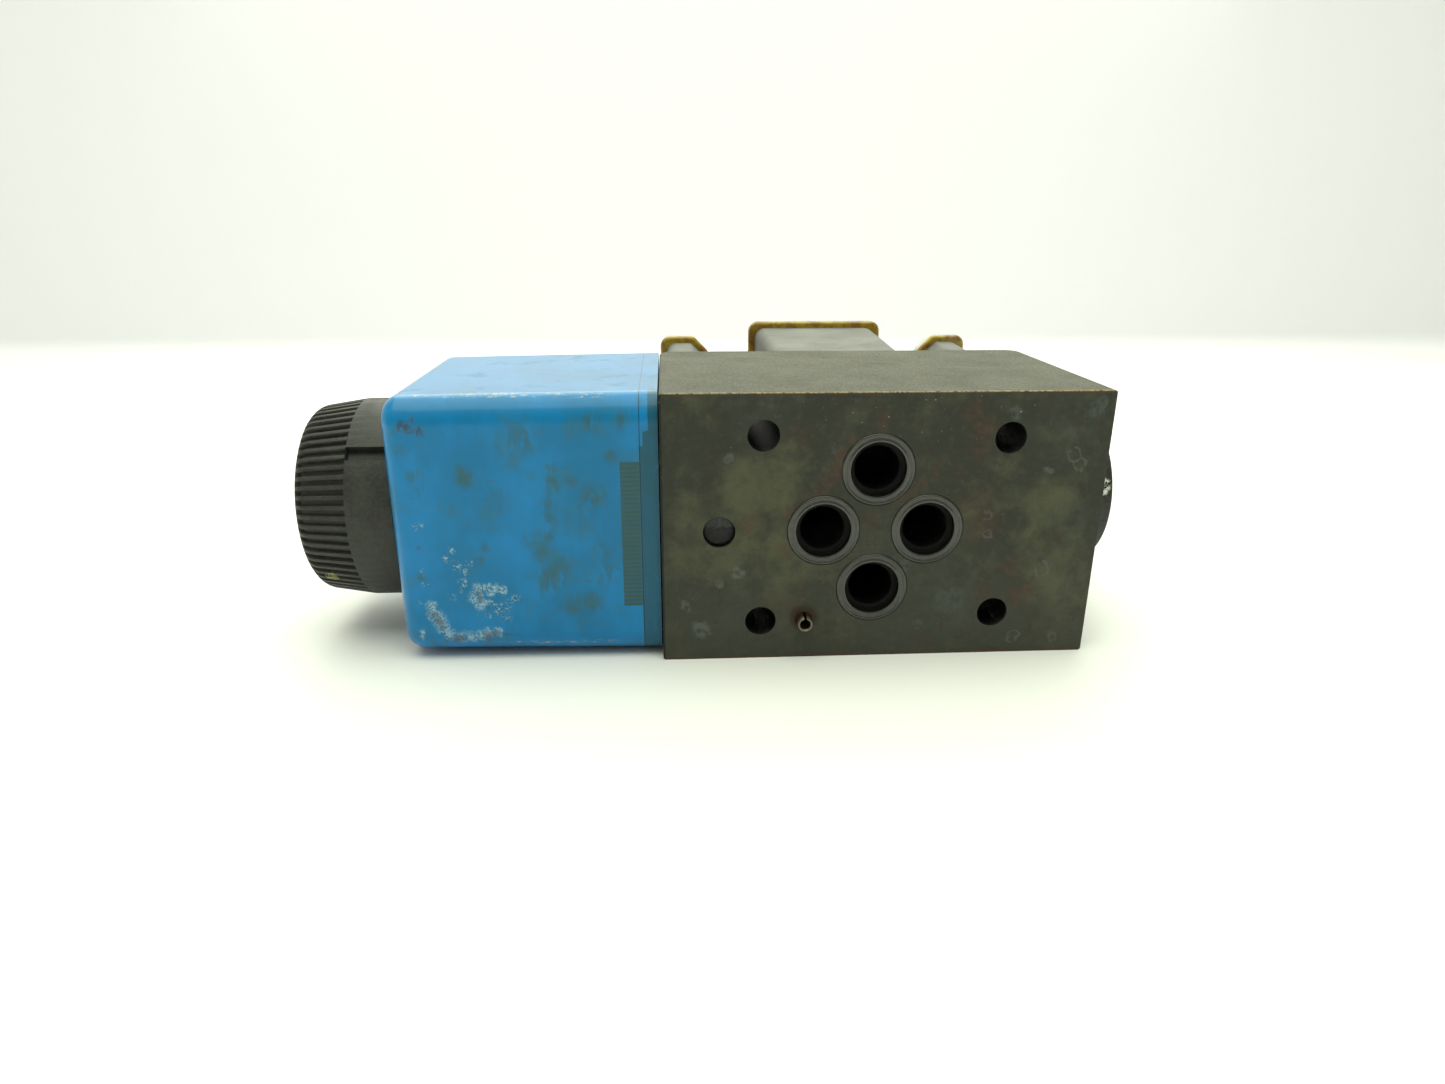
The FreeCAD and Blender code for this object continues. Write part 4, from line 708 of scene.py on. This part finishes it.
def makeCoilNut():
    v = nutValues
    low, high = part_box("coil_nut")
    insertLow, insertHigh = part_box("nut_insert")
    skirt = max(abs(low.z), high.z)
    face, end = high.x, low.x
    skirtEnd = face - v["skirtLength"]
    bore = (tubeHigh.y - tubeLow.y) / 2 + 0.08 * mm
    ring = (insertHigh.y - insertLow.y) / 2 + 0.05 * mm
    points = [
        (face, skirt), (skirtEnd, skirt), (end, v["endRadius"]), (end, v["accessRadius"]),
        (end + v["wall"], v["accessRadius"]), (end + v["wall"], bore), (insertLow.x, bore),
        (insertLow.x, ring), (insertHigh.x, ring), (insertHigh.x, bore), (face - v["sealRoom"], bore),
        (face - v["sealRoom"], v["sealRadius"]), (face, v["sealRadius"]),
    ]
    bm = bmesh.new()
    steps = 5 * v["ribs"]
    lathe(bm, points, steps, spoolAxis, xAxis, -zAxis)
    rings = [
        (end, v["endRadius"], v["endRound"]), (end, v["accessRadius"], 0.4 * mm), (face, skirt, 0.5 * mm),
    ]
    roundRings(bm, spoolAxis, xAxis, rings, 5)

    # three columns of faces in five sink to make a groove, and a few more make a tool slot
    def column(face):
        middle = face.calc_center_median() - spoolAxis
        turn = math.degrees(math.atan2(middle.z, -middle.y)) % 360
        return int(turn * steps / 360)

    def outer(f, start, stop):
        along, radius = polar(f.calc_center_median(), spoolAxis, xAxis)
        return start < along < stop and radius > v["endRadius"] - 1.6 * mm

    grooves = [f for f in bm.faces if outer(f, end + 0.5 * mm, skirtEnd) and column(f) % 5 < 3]
    bmesh.ops.inset_region(
        bm, faces=grooves, thickness=v["grooveSlope"], depth=-v["grooveDepth"], use_even_offset=True,
        use_boundary=True,
    )
    width = math.degrees(v["slotWidth"] / skirt)
    slots = []
    for f in bm.faces:
        if outer(f, skirtEnd + 0.01 * mm, face - 0.4 * mm):
            turn = (column(f) + 0.5) * 360 / steps
            if any(abs(turn - start) < width / 2 for start in (v["slotAngle"], v["slotAngle"] + 180)):
                slots.append(f)
    bmesh.ops.inset_region(
        bm, faces=slots, thickness=0.03 * mm, depth=-v["slotDepth"], use_even_offset=True, use_boundary=True,
    )
    ridges = []
    for edge in bm.edges:
        along, radius = polar((edge.verts[0].co + edge.verts[1].co) / 2, spoolAxis, xAxis)
        if along < skirtEnd + 0.05 * mm and radius > v["endRadius"] - 1.6 * mm and len(edge.link_faces) == 2:
            if edge.calc_face_angle() > math.radians(50):
                ridges.append(edge)
    bmesh.ops.bevel(
        bm, geom=ridges, offset=v["ribRound"], segments=2, profile=0.5, affect="EDGES", material=-1,
        offset_type="OFFSET", clamp_overlap=True,
    )
    return finishPiece("coilNut", bm, finishes["black_plastic"], "coil_nut", ["coil_nut"])


# ---- end plug: black steel cap with a hexagon socket, threaded into the body
plugValues = {
    "socketMouth": 6.1 * mm,
    "socketFlats": 10.0 * mm,
    "socketDepth": 1.5 * mm,
    "wall": 3.0 * mm,
    "cavityRadius": 8.5 * mm,
    "threadRadius": 10.95 * mm,
    "rimRound": 0.5 * mm,
}


def makeEndPlug():
    v = plugValues
    low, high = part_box("end_plug")
    head = (high.z - low.z) / 2
    start, end, face = low.x, high.x, bodyHigh.x
    points = [
        (end, v["socketMouth"]), (end, head), (face, head), (face, v["threadRadius"]),
        (start, v["threadRadius"]), (start, v["cavityRadius"]), (end - v["wall"], v["cavityRadius"]),
        (end - v["wall"], 0),
    ]
    bm = bmesh.new()
    lathe(bm, points, 120, spoolAxis, xAxis, -zAxis, closed=False)
    hexSocket(bm, spoolAxis, xAxis, -zAxis, end, v["socketMouth"], v["socketFlats"], v["socketDepth"], 1)
    rings = [(end, head, v["rimRound"]), (face, head, 0.4 * mm), (start, v["threadRadius"], 0.5 * mm)]
    roundRings(bm, spoolAxis, xAxis, rings, 4)
    return finishPiece("endPlug", bm, finishes["dark_steel"], "valve", ["end_plug"])


# ---- port seals: lipped rings in the four counterbores
sealValues = {
    "innerRadius": 4.65 * mm,
    "depth": 1.25 * mm,
    "valley": 0.16 * mm,
    "lip": 0.42 * mm,
}


def makePortSeals():
    v = sealValues
    low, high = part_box("port_seals")
    rubber = portRubber()
    ports = {name: m["pos_m"] for name, m in mounts.items() if name.startswith("port_")}
    outer = high.x - max(p[0] for p in ports.values())
    for name, place in sorted(ports.items()):
        centre = Vector((place[0], 0, place[2]))
        inner, top, lip = v["innerRadius"], low.y, v["lip"]
        points = [
            (v["depth"], inner), (top + 0.12 * mm, inner), (top, inner + lip * 0.5),
            (top + 0.06 * mm, inner + lip), (top + v["valley"], inner + 1.4 * lip),
            (top + v["valley"], outer - 1.4 * lip),
            (top + 0.06 * mm, outer - lip), (top, outer - lip * 0.6), (top + 0.14 * mm, outer - 0.06 * mm),
            (top + 0.4 * mm, outer), (v["depth"], outer),
        ]
        bm = bmesh.new()
        lathe(bm, points, 96, centre, yAxis, xAxis)
        letter = name.split("_")[1]
        finishPiece("portSeal_" + letter, bm, rubber, "valve", ["port_seals"], 60)


# ---- locating pin: rolled sheet with an open seam and bevelled ends
pinValues = {
    "wall": 0.55 * mm,
    "bevel": 0.22 * mm,
    "mouth": 0.10 * mm,  # small inner bevel
    "seam": 22,  # degrees left open
}


def makeLocatingPin():
    v = pinValues
    low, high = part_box("locating_pin")
    place = mounts["locating_pin"]["pos_m"]
    radius = mounts["locating_pin"]["dims"]["r_mm"] * mm
    centre = Vector((place[0], 0, place[2]))
    inner = radius - v["wall"]
    start, end, bevel = low.y, high.y, v["bevel"]
    points = [
        (start, inner + v["mouth"]), (start, radius - bevel), (start + bevel * 1.6, radius),
        (end - bevel, radius), (end, radius - bevel), (end, inner), (start + v["mouth"], inner),
    ]
    seam = math.radians(v["seam"])
    out = Matrix.Rotation(seam / 2, 3, -yAxis) @ zAxis
    bm = bmesh.new()
    chain = [bm.verts.new(centre + yAxis * along + out * r) for along, r in points]
    face = bm.faces.new(chain)
    bmesh.ops.spin(bm, geom=[face], cent=centre, axis=-yAxis, angle=2 * math.pi - seam, steps=44)
    return finishPiece("locatingPin", bm, finishes["pin_steel"], "valve", ["locating_pin"], 40)


# ---- drain plug: peened disc, a little uneven
drainValues = {
    "rings": 9,
    "roughness": 0.10 * mm,
    "rim": 0.35 * mm,
}


def makeDrainPlug():
    v = drainValues
    low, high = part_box("drain_plug")
    centre = Vector(((low.x + high.x) / 2, 0, (low.z + high.z) / 2))
    radius = (high.x - low.x) / 2
    points = [
        (high.y, 0), (high.y, radius), (low.y + v["rim"], radius), (low.y + 0.1 * mm, radius - v["rim"]),
    ]
    for step in range(v["rings"] - 1, -1, -1):
        points.append((low.y + 0.12 * mm, (radius - v["rim"]) * step / v["rings"]))
    bm = bmesh.new()
    lathe(bm, points, 48, centre, yAxis, xAxis, closed=False)
    for vert in bm.verts:
        along, r = polar(vert.co, centre, yAxis)
        if along < low.y + 0.2 * mm and r < radius - v["rim"]:
            vert.co.y += v["roughness"] * noise.noise(vert.co / (0.8 * mm))
    return finishPiece("drainPlug", bm, roughPlug(), "valve", ["drain_plug"], 60)


# ---- blank nameplate: raised border and four drive pins
plateValues = {
    "border": 0.8 * mm,
    "sunk": 0.12 * mm,
    "cornerRound": 1.5 * mm,
    "pinRadius": 0.9 * mm,
    "pinInset": 2.4 * mm,
    "pinHead": 0.16 * mm,
}


def makeNameplate():
    v = plateValues
    low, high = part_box("nameplate")
    size = high - low
    thick = size.y - v["pinHead"]
    bm = bmesh.new()
    middle = (low + high) / 2
    middle.y = low.y + thick / 2
    place = Matrix.Translation(middle) @ Matrix.Diagonal((size.x, thick, size.z, 1))
    bmesh.ops.create_cube(bm, size=1, matrix=place)
    upright = [e for e in bm.edges if abs((e.verts[0].co - e.verts[1].co).normalized().y) > 0.9]
    bmesh.ops.bevel(
        bm, geom=upright, offset=v["cornerRound"], segments=6, profile=0.5, affect="EDGES", material=-1,
        offset_type="OFFSET",
    )
    outside = [f for f in bm.faces if f.normal.y > 0.9]
    bmesh.ops.inset_region(bm, faces=outside, thickness=v["border"], depth=0, use_even_offset=True)
    bmesh.ops.inset_region(bm, faces=outside, thickness=v["sunk"], depth=-v["sunk"], use_even_offset=True)
    for sx in (-1, 1):
        for sz in (-1, 1):
            x = middle.x + sx * (size.x / 2 - v["pinInset"])
            z = middle.z + sz * (size.z / 2 - v["pinInset"])
            top = high.y
            head = [
                (top - 0.3 * mm, v["pinRadius"]), (top - 0.14 * mm, v["pinRadius"]),
                (top - 0.04 * mm, v["pinRadius"] * 0.7), (top, v["pinRadius"] * 0.3), (top, 0),
            ]
            pin = bmesh.new()
            lathe(pin, head, 24, Vector((x, 0, z)), yAxis, xAxis, closed=False)
            bmesh.ops.holes_fill(pin, edges=[e for e in pin.edges if e.is_boundary])
            joined = bpy.data.meshes.new("drivePin")
            pin.to_mesh(joined)
            pin.free()
            bm.from_mesh(joined)
            bpy.data.meshes.remove(joined)
    metal = finishes["plate_aluminium"]
    return finishPiece("blankNameplate", bm, metal, "valve", ["nameplate"])


# ---- cap screws of the cover, with rounded heads and hexagon sockets
screwValues = {
    "headRadius": 3.3 * mm,
    "headHeight": 2.4 * mm,
    "shankRadius": 1.77 * mm,
    "flats": 3.0 * mm,
    "mouth": 1.9 * mm,
    "socketDepth": 1.3 * mm,
    "headRound": 0.35 * mm,
}


def makeCoverScrews():
    v = screwValues
    low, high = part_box("cover_screws")
    number = 0
    for sx in (-1, 1):
        for sz in (-1, 1):
            number += 1
            centre = Vector((sx * (high.x - v["headRadius"]), 0, sz * (high.z - v["headRadius"])))
            top, seat = high.y, high.y - v["headHeight"]
            points = [
                (top, v["mouth"]), (top, v["headRadius"]), (seat, v["headRadius"]), (seat, v["shankRadius"]),
                (low.y + 0.5 * mm, v["shankRadius"]), (low.y, v["shankRadius"] - 0.4 * mm), (low.y, 0),
            ]
            bm = bmesh.new()
            lathe(bm, points, 48, centre, yAxis, xAxis, closed=False)
            hexSocket(bm, centre, yAxis, xAxis, top, v["mouth"], v["flats"], v["socketDepth"], 1)
            roundRings(bm, centre, yAxis, [(top, v["headRadius"], v["headRound"])], 3)
            name = f"coverScrew_{number}"
            finishPiece(name, bm, finishes["plated_steel"], "valve", ["cover_screws"])


# ---- threads: the conduit entry's, and the tube's where the nut runs
threadValues = {
    "pitch": 1.5 * mm,
    "stepsPerTurn": 40,
    "conduitHeight": 0.45 * mm,
    "tubeDepth": 0.5 * mm,
    "tubeTurns": 7,
    "tubeWall": 2.0 * mm,
    "conduitTurns": 4,
    "conduitInset": 1.2 * mm,
}


def helix(bm, points, centre, axis, out, turns, pitch, steps):
    # winds a closed outline of (along, radius) points round an axis
    chain = [bm.verts.new(centre + axis * along + out * radius) for along, radius in points]
    face = bm.faces.new(chain)
    count = int(turns * steps)
    bmesh.ops.spin(
        bm, geom=[face], cent=centre, axis=axis, angle=2 * math.pi * turns, steps=count,
        dvec=axis * (pitch * turns / count),
    )


def makeConduitThread():
    v = threadValues
    entry = mounts["conduit_entry"]
    radius = entry["dims"]["r_mm"] * mm
    centre = Vector((entry["pos_m"][0], entry["pos_m"][1], 0))
    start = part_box("wiring_box")[0].z + v["conduitInset"]
    outline = [
        (start, radius + 0.05 * mm), (start + v["pitch"] * 0.42, radius - v["conduitHeight"]),
        (start + v["pitch"] * 0.58, radius - v["conduitHeight"]), (start + v["pitch"], radius + 0.05 * mm),
    ]
    bm = bmesh.new()
    helix(bm, outline, centre, zAxis, xAxis, v["conduitTurns"], v["pitch"], v["stepsPerTurn"])
    return finishPiece("conduitThread", bm, finishes["grey_box"], "valve")


def makeCoreTube():
    # the CAD tube again, with the nut's thread cut in its free end
    v = threadValues
    outer = (tubeHigh.y - tubeLow.y) / 2
    root = outer - v["tubeDepth"]
    inner = outer - v["tubeWall"]
    start, end = tubeLow.x, tubeHigh.x
    stop = start + 1.0 * mm + v["pitch"] * (v["tubeTurns"] + 1)
    points = [
        (start, inner), (start, root - 0.1 * mm), (start + 0.5 * mm, root), (stop, root),
        (stop + 0.5 * mm, outer), (end, outer), (end, inner),
    ]
    bm = bmesh.new()
    lathe(bm, points, 96, spoolAxis, xAxis, -zAxis)
    first = start + 0.8 * mm
    outline = [
        (first, root - 0.03 * mm), (first + v["pitch"] * 0.44, outer), (first + v["pitch"] * 0.56, outer),
        (first + v["pitch"] * 0.98, root - 0.03 * mm),
    ]
    helix(bm, outline, spoolAxis, xAxis, -zAxis, v["tubeTurns"], v["pitch"], 64)
    return finishPiece("coreTube", bm, finishes["tube_steel"], "valve", ["core_tube"], 30)


# ---- return spring: round wire wound over the CAD spring's length; the spool's stroke is read, but nothing shortens the spring
springValues = {
    "wire": 0.75 * mm,
    "turns": 6,
    "stepsPerTurn": 32,
    "wireSteps": 12,
}


def makeReturnSpring():
    v = springValues
    low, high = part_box("return_spring")
    mean = (high.y - low.y) / 2 - v["wire"]
    length = high.x - low.x
    pitch = (length - 2 * v["wire"]) / v["turns"]
    angles = [2 * math.pi * i / v["wireSteps"] for i in range(v["wireSteps"])]
    outline = [(low.x + v["wire"] * (1 + math.cos(a)), mean + v["wire"] * math.sin(a)) for a in angles]
    bm = bmesh.new()
    helix(bm, outline, spoolAxis, xAxis, -zAxis, v["turns"], pitch, v["stepsPerTurn"])
    steel = finishes["spring_steel"]
    spring = finishPiece("returnSpring", bm, steel, "valve", ["return_spring"], 60)
    stroke = next(j["range_m"][1] for j in record["behaviour"]["joints"] if j["name"] == "spool_shift")
    1 - stroke / length
    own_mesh(spring)


makeCoilNut()
makeEndPlug()
makePortSeals()
makeLocatingPin()
makeDrainPlug()
makeNameplate()
makeCoverScrews()
makeConduitThread()
makeCoreTube()
makeReturnSpring()
print("pieces made")


# ---- stage: pale floor running up into a backdrop, soft light, camera
stageValues = {
    "floorFront": bodyLow.z,  # the floor touches the body's lower front edge
    "floorTilt": 1.56,
    "width": 3.0,
    "near": -0.9,
    "wallAt": 0.45,
    "wallHeight": 1.6,
    "sweep": 0.012,
}


def makeStage():
    v = stageValues
    paint = Paint("paleFloor", Metallic=0.0)
    haze = paint.noise(0.004, 3.0)
    fibre = paint.noise(0.6, 4.0)
    wall = paint.fade(paint.y, 430, 455)
    tone = paint.mix(haze, (0.83, 0.83, 0.83), (0.85, 0.85, 0.85))
    paint.colour(paint.mix(wall, tone, (0.86, 0.84, 0.91)))
    paint.rough(0.7 + fibre * 0.1)
    paint.bump(fibre, 0.02)
    slope = math.tan(math.radians(v["floorTilt"]))
    bm = bmesh.new()
    left = -v["width"] / 2
    profile = [(y, v["floorFront"] - y * slope) for y in (v["near"], v["wallAt"])]
    profile.append((v["wallAt"], v["wallHeight"]))
    chain = [bm.verts.new((left, y, z)) for y, z in profile]
    edges = [bm.edges.new(pair) for pair in zip(chain, chain[1:])]
    made = bmesh.ops.extrude_edge_only(bm, edges=edges)["geom"]
    verts = [g for g in made if isinstance(g, bmesh.types.BMVert)]
    bmesh.ops.translate(bm, verts=verts, vec=(v["width"], 0, 0))
    corner = [e for e in bm.edges if all(abs(w.co.y - v["wallAt"]) < mm and w.co.z < 0 for w in e.verts)]
    bmesh.ops.bevel(
        bm, geom=corner, offset=v["sweep"], segments=6, profile=0.5, affect="EDGES", material=-1,
        offset_type="OFFSET",
    )
    mesh = bpy.data.meshes.new("stageFloor")
    bm.to_mesh(mesh)
    bm.free()
    mesh.materials.append(paint.material)
    mesh.shade_smooth()
    floor = bpy.data.objects.new("stageFloor", mesh)
    bpy.context.scene.collection.objects.link(floor)


lightValues = {
    "tint": (1.0, 1.05, 0.87),
    "overhead": {"place": (-0.05, 0.02, 1.0), "aim": (0, 0.02, 0), "size": 1.2, "power": 12.0},
    "backGlow": {"place": (0.0, 0.42, 0.24), "aim": (0, 0.0, 0.03), "size": 0.6, "power": 2.4},
    "skyFront": 0.22,
    "skyBack": 0.85,
    "skySeen": (0.86, 0.88, 0.81),
}


def makeLights():
    tint = lightValues["tint"]
    for name in ("overhead", "backGlow"):
        v = lightValues[name]
        lamp = bpy.data.lights.new(name, "AREA")
        lamp.size = v["size"]
        lamp.energy = v["power"]
        lamp.color = tint
        holder = bpy.data.objects.new(name, lamp)
        holder.location = v["place"]
        aim = Vector(v["aim"]) - Vector(v["place"])
        holder.rotation_euler = aim.to_track_quat("-Z", "Y").to_euler()
        holder.visible_camera = False
        bpy.context.scene.collection.objects.link(holder)

    # a light tent: open and dimmer towards the front, bright above and behind
    world = bpy.data.worlds.new("softSky")
    world.use_nodes = True
    board = Board(world.node_tree)
    way = board.add("TexCoord", output="Generated")
    height = board.fade(board.part(way, 2), 0.35, 0.9)
    depth = board.fade(board.part(way, 1), -0.45, 0.25)
    strength = lightValues["skyFront"] + (height | depth) * (lightValues["skyBack"] - lightValues["skyFront"])
    lit = board.add("Background", values={"Color": (*tint, 1), "Strength": strength})
    seen = board.add("Background", values={"Color": (*lightValues["skySeen"], 1)})
    looking = board.add("LightPath", output="Is Camera Ray")
    both = board.add("MixShader", values={0: looking, 1: lit, 2: seen})
    board.add("OutputWorld", values={"Surface": both})
    bpy.context.scene.world = world


cameraValues = {
    "place": (-35.57 * mm, -143.23 * mm, 49.82 * mm),
    "turn": (70.262, -0.184, -3.421),  # degrees
    "lens": 22.84,
    "sensor": 36.0,
}


def makeCamera():
    v = cameraValues
    data = bpy.data.cameras.new("camera")
    data.lens = v["lens"]
    data.sensor_width = v["sensor"]
    data.clip_start = 0.005
    holder = bpy.data.objects.new("camera", data)
    holder.location = v["place"]
    holder.rotation_euler = [math.radians(a) for a in v["turn"]]
    bpy.context.scene.collection.objects.link(holder)
    bpy.context.scene.camera = holder


makeStage()
makeLights()
makeCamera()
bpy.context.scene.view_settings.view_transform = "Standard"
print("stage ready")
